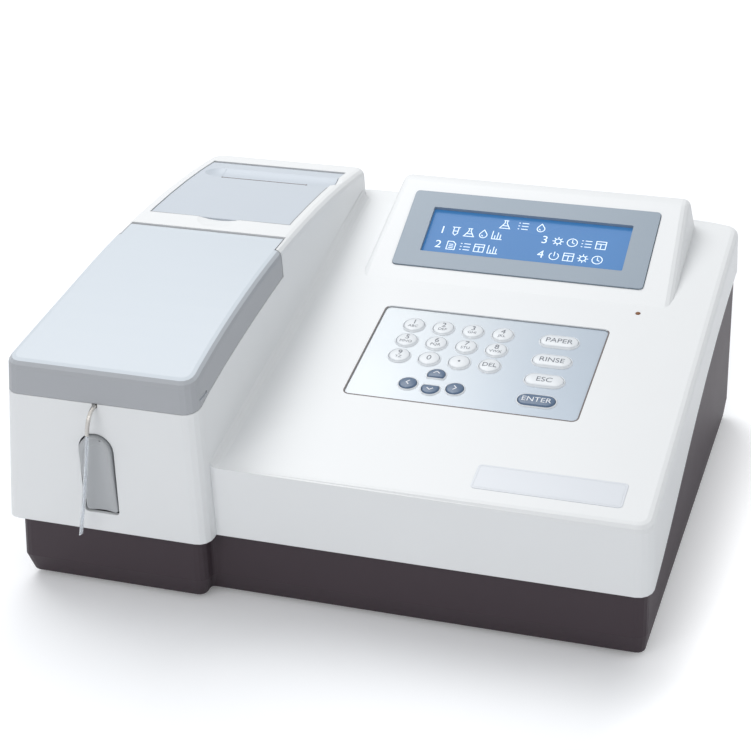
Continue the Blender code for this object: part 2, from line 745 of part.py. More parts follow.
def make_upper_case():
    case = plain_block(0.0)
    soften(case, EDGE_RADIUS, lambda p: p.z > LID_SEAM_FRONT)
    flare(case)
    body = right_body(0.0, CREASE_RADIUS)
    flat = BLOCK_WIDTH + CREASE_RADIUS * 0.95
    end = CASE_DEPTH - GAP * 3
    cut(body, shift(box(-FAR, BLOCK_WIDTH + CREASE_RADIUS, CASE_DEPTH - STEP_BACK - CORNER_RADIUS, FAR,
                        0.0, FAR), BODY_FRAME))
    soften(body, EDGE_RADIUS, lambda p: p.z > BODY_FRONT_TOP - 0.002 and (p.x > flat or p.y > end))
    cover = hood(0.0, 0.006)
    crest = HOOD_FACE_Z + math.tan(TILT) * (HOOD_CREST_Y - HOOD_FACE_Y)
    soften(cover, EDGE_RADIUS, lambda p: True, sharp=20)
    join(body, cover)
    outer_block = copy_of(case)
    join(case, body)

    # Hollow, with a thicker rim just above the seam
    inside = left_block(WALL)
    join(inside, right_body(WALL, 0.0), hood(WALL, 0.004))
    cut(inside, below_split(RIM_HEIGHT))
    rim = left_block(BASE_INSET + WALL)
    join(rim, right_body(BASE_INSET + WALL, 0.0))
    cut(case, inside, rim, below_split(0.0))

    # Deck and bulkhead that close the sample compartment
    outline = [(WALL / 2, DECK_TOP - DECK_THICKNESS),
               (BULKHEAD_Y + WALL, DECK_TOP - DECK_THICKNESS),
               (BULKHEAD_Y + WALL, crown_height(BULKHEAD_Y) - WALL / 2),
               (BULKHEAD_Y, crown_height(BULKHEAD_Y) - WALL / 2),
               (BULKHEAD_Y, DECK_TOP), (WALL / 2, DECK_TOP)]
    deck = prism(outline, "X", -FAR, BLOCK_WIDTH - WALL / 2)
    join(case, common(deck, left_block(WALL / 2)))

    # Lid opening: the whole top in front, then the tongue's slot between two rails
    cut(case, lid_region(GAP, LID_DEPTH + LID_REAR_GAP))
    cut(case, box(TONGUE_LEFT - GAP - 0.0002, TONGUE_RIGHT + GAP + 0.0002, LID_DEPTH - 0.01,
                  TONGUE_END + 0.0015, HINGE_Z - 0.008, CROWN_PEAK + 0.01))
    for inner, outer in ((TONGUE_LEFT, WALL), (TONGUE_RIGHT, BLOCK_WIDTH - WALL)):
        side = math.copysign(1.0, outer - inner)
        face = inner + side * (GAP + 0.0002)
        lug = box(min(face, outer), max(face, outer), HINGE_Y - LUG_THICKNESS,
                  HINGE_Y + LUG_THICKNESS, HINGE_Z - LUG_THICKNESS, crown_height(HINGE_Y) - WALL / 2)
        join(case, lug)
        reach = inner + side * (HINGE_PIN_REACH + GAP * 2)
        cut(case, rod("X", HINGE_Y, HINGE_Z, min(reach, inner - side * 0.001),
                      max(reach, inner - side * 0.001), HINGE_PIN_RADIUS + PIN_CLEARANCE, 16))

    # Printer opening, pad under the right scoop, hinge lugs and thumb notch
    pad = prism(crown_band(TROUGH_Y - TROUGH_WIDTH / 2 - 0.002, TROUGH_Y + TROUGH_WIDTH / 2 + 0.002,
                           WALL / 2, 0.0075), "X", COVER_RIGHT + COVER_GAP, BLOCK_WIDTH - WALL)
    join(case, pad)
    for inner, outer in ((COVER_LEFT, WALL), (COVER_RIGHT, BLOCK_WIDTH - WALL)):
        side = math.copysign(1.0, outer - inner)
        face = inner + side * COVER_GAP
        lug = box(min(face, outer), max(face, outer), COVER_HINGE_Y - 0.0038,
                  COVER_HINGE_Y + 0.0042, COVER_HINGE_Z - 0.0042,
                  crown_height(COVER_HINGE_Y) - WALL / 2)
        join(case, lug)
    cut(case, box(COVER_LEFT - COVER_GAP, COVER_RIGHT + COVER_GAP, COVER_FRONT - COVER_GAP,
                  COVER_REAR + 0.0012, DECK_TOP + 0.01, CROWN_PEAK + 0.01))
    for inner in (COVER_LEFT, COVER_RIGHT):
        side = -1.0 if inner == COVER_LEFT else 1.0
        reach = inner + side * (HINGE_PIN_REACH + GAP * 2)
        cut(case, rod("X", COVER_HINGE_Y, COVER_HINGE_Z, min(reach, inner - side * 0.001),
                      max(reach, inner - side * 0.001), COVER_PIN_RADIUS + PIN_CLEARANCE, 16))
    cut(case, trough_tool(), notch_tool())

    # Display pocket and the window behind the bezel
    cut(case, hood_box(BEZEL_LEFT - GAP, BEZEL_LEFT + BEZEL_WIDTH + GAP, -GAP, BEZEL_LENGTH + GAP,
                       BEZEL_PROUD - BEZEL_THICKNESS - GAP, 0.02, 0.003))
    cut(case, hood_box(BEZEL_LEFT + BEZEL_LIP, BEZEL_LEFT + BEZEL_WIDTH - BEZEL_LIP, BEZEL_LIP,
                       BEZEL_LENGTH - BEZEL_LIP, -0.02, 0.02))

    # Key panel pocket, its opening and the lamp hole
    cut(case, panel_box(PANEL_LEFT - PANEL_GAP, PANEL_LEFT + PANEL_WIDTH + PANEL_GAP,
                        PANEL_UP - PANEL_GAP, PANEL_UP + PANEL_LENGTH + PANEL_GAP,
                        -PANEL_SINK - PANEL_THICKNESS - GAP, 0.01, 0.004))
    cut(case, panel_box(PANEL_LEFT + PANEL_LEDGE, PANEL_LEFT + PANEL_WIDTH - PANEL_LEDGE,
                        PANEL_UP + PANEL_LEDGE, PANEL_UP + PANEL_LENGTH - PANEL_LEDGE, -0.02, 0.01))
    cut(case, shift(rod("Z", LED_X, LED_UP, -0.01, 0.01, LED_RADIUS + GAP / 2, 12), BODY_FRAME))

    # Front arch for the trigger, its lugs, and the needle's notch under the lid
    half = ARCH_WIDTH / 2
    centre_x = ARCH_LEFT + half
    for side in (-1.0, 1.0):
        inner = centre_x + side * half
        outer = inner + side * 0.0045
        lug = box(min(inner, outer), max(inner, outer), WALL / 2, PADDLE_PIVOT_Y + 0.004,
                  PADDLE_PIVOT_Z - 0.005, PADDLE_PIVOT_Z + 0.005)
        join(case, lug)
    cut(case, prism(arch_outline(0.0), "Y", -0.02, 0.012))
    cut(case, rod("X", PADDLE_PIVOT_Y, PADDLE_PIVOT_Z, ARCH_LEFT - 0.0028,
                  ARCH_LEFT + ARCH_WIDTH + 0.0028, PADDLE_PIN_RADIUS + PIN_CLEARANCE, 16))
    cut(case, rod("Y", NEEDLE_X, LID_SEAM_FRONT - NEEDLE_RADIUS - GAP, -0.01, 0.008,
                  NEEDLE_RADIUS + GAP, 16),
        box(NEEDLE_X - NEEDLE_RADIUS - GAP, NEEDLE_X + NEEDLE_RADIUS + GAP, -0.01, 0.008,
            LID_SEAM_FRONT - NEEDLE_RADIUS - GAP, LID_SEAM_FRONT + 0.01))
    case.name = "upper_case"
    return case, outer_block


def arch_outline(inset):
    """The trigger opening: straight sides under a half circle, moved in by inset."""
    half = ARCH_WIDTH / 2
    centre_x = ARCH_LEFT + half
    centre_z = ARCH_TOP - half
    radius = half - inset
    arc = [(centre_x + radius * math.cos(math.pi * k / 12),
            centre_z + radius * math.sin(math.pi * k / 12)) for k in range(13)]
    corner = ARCH_CORNER - inset / 2
    low = ARCH_BOTTOM + inset
    foot = [(centre_x + side * (radius - corner + corner * math.sin(math.pi / 6 * k)),
             low + corner - corner * math.cos(math.pi / 6 * k))
            for side, steps in ((-1, (3, 2, 1, 0)), (1, (0, 1, 2, 3))) for k in steps]
    return foot + arc


def make_lid(outer_block):
    lid = common(outer_block, lid_region(0.0, LID_DEPTH))
    hollow = left_block(LID_WALL)
    cut(hollow, box(-FAR, FAR, LID_DEPTH - LID_WALL, FAR, -FAR, FAR))
    cut(lid, hollow)
    tongue = prism(crown_band(LID_DEPTH - LID_WALL / 2, TONGUE_END, TONGUE_SINK, TONGUE_THICKNESS), "X",
                   TONGUE_LEFT, TONGUE_RIGHT)
    soften(tongue, 0.0018, lambda p: p.y > TONGUE_END - 0.001, sharp=30)
    join(lid, tongue)
    join(lid, rod("X", HINGE_Y, HINGE_Z, TONGUE_LEFT, TONGUE_RIGHT, HINGE_BARREL_RADIUS, 16))
    join(lid, rod("X", HINGE_Y, HINGE_Z, TONGUE_LEFT - HINGE_PIN_REACH,
                  TONGUE_RIGHT + HINGE_PIN_REACH, HINGE_PIN_RADIUS, 16))
    slot_z = LID_SEAM_FRONT + 0.007
    slot = shift(prism(rectangle(0.0075, 0.0182, -0.0010, 0.0010, 0.0009, 3), "X",
                       BLOCK_WIDTH - 0.0008, BLOCK_WIDTH + 0.01),
                 Matrix.Translation((0, 0, slot_z)))
    cut(lid, slot)
    lid.name = "front_lid"
    return lid


def make_printer_cover():
    band = crown_band(COVER_FRONT, COVER_REAR, COVER_SINK, COVER_BOTTOM)
    cover = prism(band, "X", COVER_LEFT, COVER_RIGHT)
    soften(cover, 0.0016, lambda p: p.y > COVER_REAR - 0.001, sharp=30)
    thick = crown_band(TROUGH_Y - TROUGH_WIDTH / 2 - 0.003, TROUGH_Y + TROUGH_WIDTH / 2 + 0.001,
                       COVER_SINK + 0.0004, COVER_BOTTOM + TROUGH_DEPTH)
    join(cover, prism(thick, "X", COVER_LEFT + TROUGH_PAD_INSET, COVER_RIGHT))
    join(cover, rod("X", COVER_HINGE_Y, COVER_HINGE_Z, COVER_LEFT, COVER_RIGHT,
                    COVER_BARREL_RADIUS, 16))
    join(cover, rod("X", COVER_HINGE_Y, COVER_HINGE_Z, COVER_LEFT - HINGE_PIN_REACH,
                    COVER_RIGHT + HINGE_PIN_REACH, COVER_PIN_RADIUS, 16))
    cut(cover, trough_tool())
    middle = COVER_LEFT + COVER_WIDTH / 2
    slit_y = TROUGH_Y - TROUGH_WIDTH * 0.14
    slit = prism(rectangle(middle - SLIT_LENGTH / 2, middle + SLIT_LENGTH / 2,
                           slit_y - SLIT_WIDTH / 2, slit_y + SLIT_WIDTH / 2, SLIT_WIDTH * 0.49, 3),
                 "Z", DECK_TOP, CROWN_PEAK + 0.01)
    cut(cover, slit)
    cover.name = "printer_cover"
    return cover


def make_lower_case():
    top = SPLIT_REAR + 0.01
    waist = FOOT_HEIGHT + CHAMFER_HEIGHT
    outer, right = BASE_INSET, BASE_INSET_RIGHT
    case = flare(loft([
        (base_outline(outer + CHAMFER_INSET, right + CHAMFER_INSET_RIGHT), FOOT_HEIGHT),
        (base_outline(outer, right), waist), (base_outline(outer, right), top)]))
    inner, right = outer + WALL, right + WALL
    hollow = flare(loft([
        (base_outline(inner + CHAMFER_INSET, right + CHAMFER_INSET_RIGHT), FOOT_HEIGHT + WALL),
        (base_outline(inner, right), waist + WALL / 2), (base_outline(inner, right), top + 0.01)]))
    common(case, below_split(-GAP))
    cut(case, hollow)
    for x in (BOARD_LEFT + POST_INSET, BOARD_LEFT + BOARD_WIDTH - POST_INSET):
        for y in (BOARD_FRONT + POST_INSET, BOARD_FRONT + BOARD_DEPTH - POST_INSET):
            join(case, rod("Z", x, y, FOOT_HEIGHT + WALL / 2, BOARD_LEVEL - GAP, POST_RADIUS, 12))

    # Rear panel cut-outs
    rear = CASE_DEPTH - BASE_INSET
    reach = (rear - WALL - 0.004, rear + 0.01)
    cut(case, prism(rectangle(INLET_X - INLET_WIDTH / 2 - GAP, INLET_X + INLET_WIDTH / 2 + GAP,
                              INLET_Z - INLET_HEIGHT / 2 - GAP, INLET_Z + INLET_HEIGHT / 2 + GAP),
                    "Y", *reach))
    cut(case, prism(rectangle(INLET_X - SWITCH_WIDTH / 2 - GAP, INLET_X + SWITCH_WIDTH / 2 + GAP,
                              SWITCH_Z - SWITCH_HEIGHT / 2 - GAP,
                              SWITCH_Z + SWITCH_HEIGHT / 2 + GAP), "Y", *reach))
    cut(case, prism(rectangle(PORT_X - PORT_WIDTH / 2 - GAP, PORT_X + PORT_WIDTH / 2 + GAP,
                              PORT_Z - PORT_HEIGHT / 2 - GAP, PORT_Z + PORT_HEIGHT / 2 + GAP),
                    "Y", *reach))
    count = 7
    pitch = FAN_SIZE * 0.86 / count
    for k in range(count):
        x = FAN_X + (k - (count - 1) / 2) * pitch
        half = math.sqrt((FAN_SIZE * 0.46) ** 2 - (x - FAN_X) ** 2)
        cut(case, prism(rectangle(x - pitch * 0.30, x + pitch * 0.30, FAN_Z - half, FAN_Z + half,
                                  pitch * 0.25, 3), "Y", *reach))
    case.name = "lower_case"
    return case


def make_feet():
    feet = []
    spots = [(FOOT_INSET, FOOT_INSET), (CASE_WIDTH - FOOT_INSET, FOOT_INSET + STEP_BACK),
             (FOOT_INSET, CASE_DEPTH - FOOT_INSET), (CASE_WIDTH - FOOT_INSET, CASE_DEPTH - FOOT_INSET)]
    top = FOOT_HEIGHT - GAP
    for index, (x, y) in enumerate(spots):
        foot = turned([(0, top), (FOOT_RADIUS, top), (FOOT_RADIUS, top * 0.35),
                       (FOOT_RADIUS - top * 0.35, 0), (FOOT_RADIUS * 0.4, 0),
                       (FOOT_RADIUS * 0.35, top * 0.3), (0, top * 0.3)], steps=20)
        foot.name = f"foot_{index + 1}"
        feet.append(shift(foot, Matrix.Translation((x, y, 0))))
    return feet


def make_bezel():
    bezel = hood_box(BEZEL_LEFT, BEZEL_LEFT + BEZEL_WIDTH, 0, BEZEL_LENGTH,
                     BEZEL_PROUD - BEZEL_THICKNESS, BEZEL_PROUD, 0.0025)
    left = BEZEL_LEFT + WINDOW_LEFT
    cut(bezel, hood_box(left, left + WINDOW_WIDTH, WINDOW_UP, WINDOW_UP + WINDOW_LENGTH,
                        -0.02, 0.02, 0.0008))
    bezel.name = "display_bezel"
    return bezel


def make_lcd():
    left = BEZEL_LEFT + WINDOW_LEFT
    front = BEZEL_PROUD - BEZEL_THICKNESS - GAP
    lcd = hood_box(left - LCD_BORDER, left + WINDOW_WIDTH + LCD_BORDER, WINDOW_UP - LCD_BORDER,
                   WINDOW_UP + WINDOW_LENGTH + LCD_BORDER, front - LCD_THICKNESS, front)
    lcd.name = "lcd_panel"
    return lcd


def key_layout():
    """Each key's name, place on the sloping panel and outline about that place."""
    keys = []
    digits = ("1", "2", "3", "4", "5", "6", "7", "8", "9", "0", "point", "delete")
    for index, label in enumerate(digits):
        column, row = index % 4, index // 4
        keys.append((f"key_{label}", KEY_FIRST_X + column * KEY_COLUMN_PITCH,
                     KEY_FIRST_UP - row * KEY_ROW_PITCH, circle(0, 0, KEY_RADIUS)))
    flat = 0.55
    chord = math.sqrt(1 - flat * flat)
    low = math.atan2(-flat, chord)
    span = math.pi - 2 * low
    arc = [(ARROW_RADIUS * math.cos(low + span * k / 14), ARROW_RADIUS * math.sin(low + span * k / 14))
           for k in range(15)]
    keys.append(("key_up", ARROW_X, ARROW_UP + ARROW_RISE, arc))
    keys.append(("key_down", ARROW_X, ARROW_UP - ARROW_RISE, [(-x, -y) for x, y in arc]))
    keys.append(("key_left", ARROW_X - ARROW_SPREAD, ARROW_UP - ARROW_RISE * 0.65,
                 circle(0, 0, ARROW_RADIUS)))
    keys.append(("key_right", ARROW_X + ARROW_SPREAD, ARROW_UP - ARROW_RISE * 0.65,
                 circle(0, 0, ARROW_RADIUS)))
    pill = rectangle(-PILL_LENGTH / 2, PILL_LENGTH / 2, -PILL_WIDTH / 2, PILL_WIDTH / 2,
                     PILL_WIDTH * 0.49, 5)
    for index, label in enumerate(("paper", "rinse", "escape", "enter")):
        keys.append((f"key_{label}", PILL_X, PILL_TOP_UP - index * PILL_PITCH, pill))
    return keys


def grown(outline, amount):
    """An outline around its own middle moved out by amount."""
    result = []
    for index, (x, y) in enumerate(outline):
        before = Vector(outline[index - 1])
        after = Vector(outline[(index + 1) % len(outline)])
        along = (after - before).normalized()
        result.append((x + along.y * amount, y - along.x * amount))
    return result


def make_keys():
    keys = []
    for name, x, up, outline in key_layout():
        top = KEY_PROUD - PANEL_SINK
        key = prism(outline, "Z", -PANEL_SINK - KEY_DEPTH, top)
        soften(key, 0.0008, lambda p: p.z > top - 0.0001, segments=1)
        place = BODY_FRAME @ Vector((x, up, 0))
        shift(key, BODY_FRAME.to_3x3().to_4x4())
        key.location = place
        key.name = name
        keys.append(key)
    return keys


def make_overlay():
    overlay = panel_box(PANEL_LEFT, PANEL_LEFT + PANEL_WIDTH, PANEL_UP, PANEL_UP + PANEL_LENGTH,
                        -PANEL_SINK - PANEL_THICKNESS, -PANEL_SINK, 0.0036)
    for name, x, up, outline in key_layout():
        hole = prism([(x + a, up + b) for a, b in grown(outline, KEY_CLEARANCE)], "Z", -0.01, 0.01)
        cut(overlay, shift(hole, BODY_FRAME))
    overlay.name = "keypad_overlay"
    return overlay


def make_key_board():
    top = -PANEL_SINK - KEY_DEPTH - KEY_TRAVEL - GAP
    inset = PANEL_LEDGE - 0.003
    x0, x1 = PANEL_LEFT + inset, PANEL_LEFT + PANEL_WIDTH - inset
    v0, v1 = PANEL_UP + inset, PANEL_UP + PANEL_LENGTH - inset
    board = panel_box(x0, x1, v0, v1, top - BOARD_THICKNESS, top)
    ledge = PANEL_LEDGE - inset
    for x in (x0 + ledge / 2, x1 - ledge / 2):
        for v in (v0 + ledge / 2, v1 - ledge / 2):
            join(board, shift(rod("Z", x, v, top - BOARD_THICKNESS / 2, -WALL - GAP,
                                  ledge * 0.4, 12), BODY_FRAME))
    board.name = "key_board"
    return board


def make_led():
    led = turned([(0, 0.0006), (LED_RADIUS * 0.6, 0.0005), (LED_RADIUS, 0.0001),
                  (LED_RADIUS, -0.0045), (0, -0.0045)], steps=16)
    shift(led, BODY_FRAME @ Matrix.Translation((LED_X, LED_UP, 0)))
    led.name = "status_led"
    return led


def make_paddle():
    middle = ARCH_LEFT + ARCH_WIDTH / 2
    half = ARCH_WIDTH / 2 - PADDLE_SIDE_GAP
    back = PADDLE_FRONT + PADDLE_THICKNESS
    low, high = ARCH_BOTTOM, ARCH_TOP
    run = high - low
    paddle = prism(arch_outline(PADDLE_SIDE_GAP), "Y", -PADDLE_PROUD * 2, back)

    # Side view: flush at the bottom, standing proud near the top
    front = bezier([(PADDLE_FRONT, low), (-PADDLE_PROUD * 0.70, low + run * 0.45),
                    (-PADDLE_PROUD * 1.20, low + run * 0.92), (-PADDLE_PROUD * 0.60, high)], 8)
    common(paddle, prism([(back + 0.01, low), *front, (back + 0.01, high)], "X",
                         middle - ARCH_WIDTH, middle + ARCH_WIDTH))
    soften(paddle, 0.0009, lambda p: p.y < PADDLE_FRONT + 0.0002, sharp=50)

    # Finger trough with a round upper end
    chord = half - PADDLE_RIM
    radius = (chord * chord + PADDLE_SCOOP ** 2) / (2 * PADDLE_SCOOP)
    end = run - half - PADDLE_RIM
    turns = [0, 50] + [62 + 4 * k for k in range(8)]
    profile = [(radius * math.sin(math.radians(t)), end + radius * math.cos(math.radians(t)))
               for t in turns]
    scoop = turned(profile + [(radius, -run), (0, -run)], steps=96)
    lean = math.atan2(PADDLE_PROUD * 0.75, run * 0.8)
    shift(scoop, Matrix.Translation((middle, PADDLE_FRONT + PADDLE_SCOOP, low))
          @ Matrix.Rotation(lean, 4, "X") @ Matrix.Translation((0, -radius, 0)))
    cut(paddle, scoop)

    join(paddle, box(middle - half, middle + half, back - 0.0005,
                     PADDLE_PIVOT_Y, PADDLE_PIVOT_Z - 0.0018, PADDLE_PIVOT_Z + 0.0018),
         rod("X", PADDLE_PIVOT_Y, PADDLE_PIVOT_Z, middle - half, middle + half,
             PADDLE_PIN_RADIUS * 1.7, 16))
    join(paddle, rod("X", PADDLE_PIVOT_Y, PADDLE_PIVOT_Z, ARCH_LEFT - PADDLE_PIN_REACH,
                     ARCH_LEFT + ARCH_WIDTH + PADDLE_PIN_REACH, PADDLE_PIN_RADIUS, 16))
    shift(paddle, Matrix.Translation((0, -PADDLE_PIVOT_Y, -PADDLE_PIVOT_Z)))
    paddle.location = (0, PADDLE_PIVOT_Y, PADDLE_PIVOT_Z)
    paddle.name = "trigger_paddle"
    return paddle


NEEDLE_Z = LID_SEAM_FRONT - NEEDLE_RADIUS - GAP
NEEDLE_END = (NEEDLE_X - 0.0021, -0.0092, NEEDLE_Z - 0.0147)


def make_needle():
    bend = [(NEEDLE_X, 0.014, NEEDLE_Z), (NEEDLE_X, 0.005, NEEDLE_Z), (NEEDLE_X, -0.0015, NEEDLE_Z),
            (NEEDLE_X - 0.0006, -0.0062, NEEDLE_Z - 0.0028),
            (NEEDLE_X - 0.0014, -0.0084, NEEDLE_Z - 0.0083), NEEDLE_END]
    needle = wire(smooth_path(bend, 0.0022), NEEDLE_RADIUS)
    needle.name = "aspiration_needle"
    return needle


def make_aspiration_tube():
    x, y, z = NEEDLE_END
    drop = z - TIP_HEIGHT
    points = [(x - 0.0001, y - 0.0001, z - GAP * 1.5), (x - 0.0017, y - 0.0010, z - drop * 0.22),
              (x - 0.0048, y - 0.0021, z - drop * 0.56), (x - 0.0082, y - 0.0029, z - drop * 0.86),
              (x - 0.0098, y - 0.0032, z - drop)]
    tube = wire(smooth_path(points, 0.006), TUBE_RADIUS)
    tip = box(-0.01, 0.01, -0.01, 0.01, -0.02, 0, "tip")
    shift(tip, Matrix.Translation((points[-1][0], points[-1][1], TIP_HEIGHT + TUBE_RADIUS * 1.3))
          @ Matrix.Rotation(math.radians(52), 4, "Y"))
    cut(tube, tip)
    tube.name = "aspiration_tube"
    return tube


def make_flow_cell():
    floor = DECK_TOP + GAP
    half = 0.0065
    holder = box(CELL_X - 0.016, CELL_X + 0.016, CELL_Y - 0.014, CELL_Y + 0.014,
                 floor, floor + 0.019)
    soften(holder, 0.0015, lambda p: p.z > floor + 0.018, segments=2)
    cut(holder, box(CELL_X - half, CELL_X + half, CELL_Y - half, CELL_Y + half,
                    floor + 0.003, floor + 0.03),
        rod("Y", CELL_X, floor + 0.0105, CELL_Y - 0.02, CELL_Y + 0.02, 0.003, 16))
    holder.name = "flow_cell_holder"
    side = half - GAP
    cell = box(CELL_X - side, CELL_X + side, CELL_Y - side, CELL_Y + side,
               floor + 0.003 + GAP, floor + 0.027)
    join(cell, rod("Z", CELL_X - 0.0028, CELL_Y, floor + 0.026, floor + 0.029, 0.0017, 12),
         rod("Z", CELL_X + 0.0028, CELL_Y, floor + 0.026, floor + 0.029, 0.0017, 12))
    cell.name = "flow_cell"
    return [holder, cell]


CELL_PORT_Z = DECK_TOP + GAP + 0.029
PUMP_FLOOR = DECK_TOP + GAP
PUMP_TUBE_Z = PUMP_FLOOR + 0.0095
PUMP_TUBE_ORBIT = TRACK_RADIUS - GAP - PUMP_TUBE_RADIUS
WASTE_Y = PUMP_Y - 0.032


def make_pump():
    body = rod("Z", PUMP_X, PUMP_Y, PUMP_FLOOR, PUMP_FLOOR + PUMP_HEIGHT, PUMP_RADIUS, 40)
    join(body, box(PUMP_X - PUMP_RADIUS, PUMP_X + PUMP_RADIUS, PUMP_Y - PUMP_RADIUS - 0.001, PUMP_Y,
                   PUMP_FLOOR, PUMP_FLOOR + PUMP_HEIGHT))
    cut(body, rod("Z", PUMP_X, PUMP_Y, PUMP_FLOOR + 0.003, PUMP_FLOOR + 0.03, TRACK_RADIUS, 40),
        box(PUMP_X - TRACK_RADIUS, PUMP_X + TRACK_RADIUS, PUMP_Y - PUMP_RADIUS - 0.01, PUMP_Y,
            PUMP_FLOOR + 0.003, PUMP_FLOOR + 0.03),
        rod("Z", PUMP_X, PUMP_Y, PUMP_FLOOR - 0.01, PUMP_FLOOR + 0.01, 0.0023, 16))
    body.name = "pump_body"

    disc = PUMP_FLOOR + 0.0033
    rotor = turned([(0, 0.0145), (0.0030, 0.0145), (0.0046, 0.0135), (0.0046, 0.0017),
                    (ROLLER_ORBIT + 0.0028, 0.0017), (ROLLER_ORBIT + 0.0028, 0), (0.0020, 0),
                    (0.0020, -0.0135), (0, -0.0135)], steps=28)
    rollers = []
    for index in range(3):
        angle = math.radians(90 + 120 * index)
        x, y = ROLLER_ORBIT * math.cos(angle), ROLLER_ORBIT * math.sin(angle)
        join(rotor, rod("Z", x, y, 0.0010, 0.0020 + ROLLER_HEIGHT + 0.0004, 0.0015, 12))
        roller = rod("Z", 0, 0, 0.0020, 0.0020 + ROLLER_HEIGHT, ROLLER_RADIUS, 20)
        cut(roller, rod("Z", 0, 0, 0, 0.02, 0.0015 + GAP, 16))
        roller.location = (PUMP_X + x, PUMP_Y + y, disc)
        roller.name = f"pump_roller_{index + 1}"
        rollers.append(roller)
    rotor.location = (PUMP_X, PUMP_Y, disc)
    rotor.name = "pump_rotor"

    motor_top = DECK_TOP - DECK_THICKNESS - GAP
    motor = turned([(0, motor_top), (0.0150, motor_top), (0.0160, motor_top - 0.001),
                    (0.0160, motor_top - 0.031), (0.0150, motor_top - 0.032),
                    (0, motor_top - 0.032)], steps=28)
    cut(motor, rod("Z", 0, 0, motor_top - 0.012, motor_top + 0.01, 0.0023, 16))
    shift(motor, Matrix.Translation((PUMP_X, PUMP_Y, 0)))
    motor.name = "pump_motor"
    return [body, rotor, motor] + rollers


def make_tubes():
    start = (NEEDLE_X, 0.014 + GAP * 1.5, NEEDLE_Z)
    port = (CELL_X - 0.0028, CELL_Y, CELL_PORT_Z + GAP)
    feed = wire(smooth_path([start, (NEEDLE_X, 0.020, NEEDLE_Z + 0.003),
                             (NEEDLE_X - 0.001, 0.029, CELL_PORT_Z + 0.001),
                             (CELL_X - 0.0026, CELL_Y - 0.006, CELL_PORT_Z + 0.006),
                             (port[0], port[1] - 0.0004, port[2] + 0.0045),
                             (port[0], port[1], port[2] + 0.0022), port], 0.0020),
                PUMP_TUBE_RADIUS)
    feed.name = "sample_line"
    orbit = PUMP_TUBE_ORBIT
    front = PUMP_Y - PUMP_RADIUS - 0.002
    route = [(CELL_X + 0.0028, CELL_Y, CELL_PORT_Z + GAP * 1.5),
             (CELL_X + 0.0028, CELL_Y, CELL_PORT_Z + 0.0048),
             (CELL_X + 0.0080, CELL_Y + 0.014, CELL_PORT_Z + 0.001),
             (PUMP_X - orbit - 0.0005, front - 0.008, PUMP_TUBE_Z + 0.004),
             (PUMP_X - orbit, front + 0.003, PUMP_TUBE_Z)]
    route += [(PUMP_X - orbit * math.cos(math.pi * k / 8), PUMP_Y + orbit * math.sin(math.pi * k / 8),
               PUMP_TUBE_Z) for k in range(9)]
    route += [(PUMP_X + orbit, front + 0.003, PUMP_TUBE_Z),
              (PUMP_X + orbit - 0.0002, WASTE_Y + 0.004, PUMP_TUBE_Z - 0.003),
              (PUMP_X + orbit - 0.0004, WASTE_Y, DECK_TOP + 0.001),
              (PUMP_X + orbit - 0.0004, WASTE_Y, DECK_TOP - 0.008)]
    tube = wire(smooth_path(route, 0.0046), PUMP_TUBE_RADIUS)
    tube.name = "pump_tube"
    return [feed, tube]


def make_printer():
    lip_end = TROUGH_Y - TROUGH_WIDTH / 2 - 0.0055
    lip = WALL + GAP
    low_rim = COVER_BOTTOM + TROUGH_DEPTH + GAP * 2
    front_top = crown_band(TRAY_FRONT, lip_end, lip, 0)
    front_top = front_top[:len(front_top) // 2]
    rear_top = crown_band(lip_end, TRAY_REAR, low_rim, 0)
    rear_top = rear_top[:len(rear_top) // 2]
    side = [(TRAY_FRONT, TRAY_FLOOR), (TRAY_REAR, TRAY_FLOOR)] + list(reversed(front_top + rear_top))
    tray = prism(side, "X", TRAY_SIDE, BLOCK_WIDTH - TRAY_SIDE)
    join(tray, prism(crown_band(COVER_FRONT - TRAY_LIP, lip_end - 0.001, lip, lip + TRAY_WALL * 0.8),
                     "X", COVER_LEFT - TRAY_LIP, COVER_RIGHT + TRAY_LIP))
    cut(tray, box(TRAY_SIDE + TRAY_WALL, BLOCK_WIDTH - TRAY_SIDE - TRAY_WALL,
                  TRAY_FRONT + TRAY_WALL, TRAY_REAR - TRAY_WALL,
                  TRAY_FLOOR + TRAY_WALL, CROWN_PEAK + 0.02))
    tray.name = "printer_tray"

    floor = TRAY_FLOOR + TRAY_WALL + GAP
    left = TRAY_SIDE + TRAY_WALL + 0.003
    right = BLOCK_WIDTH - left
    block = box(left, right, TRAY_REAR - 0.026, TRAY_REAR - TRAY_WALL - GAP, floor, floor + 0.034)
    roller_y = TRAY_REAR - 0.032
    roller_z = floor + 0.030
    for x in (left, right - 0.003):
        join(block, box(x, x + 0.003, roller_y - 0.006, TRAY_REAR - 0.025, floor + 0.008,
                        floor + 0.034))
    cut(block, rod("X", roller_y, roller_z, 0, BLOCK_WIDTH, 0.0019, 16))
    cut(block, rod("X", roller_y, roller_z, left + 0.003, right - 0.003, 0.0052, 24))
    block.name = "printer_mechanism"
    roller = rod("X", 0, 0, left + 0.003 + GAP, right - 0.003 - GAP, 0.0045, 24)
    join(roller, rod("X", 0, 0, left - 0.001, right + 0.001, 0.0016, 12))
    roller.location = (0, roller_y, roller_z)
    roller.name = "platen_roller"

    middle = BLOCK_WIDTH / 2
    roll_y = TRAY_FRONT + TRAY_WALL + GAP + ROLL_RADIUS
    roll = rod("X", roll_y, floor + ROLL_RADIUS, middle - PAPER_WIDTH / 2, middle + PAPER_WIDTH / 2,
               ROLL_RADIUS, 36)
    cut(roll, rod("X", roll_y, floor + ROLL_RADIUS, 0, BLOCK_WIDTH, 0.0062, 20))
    roll.name = "paper_roll"
    return [tray, block, roller, roll]


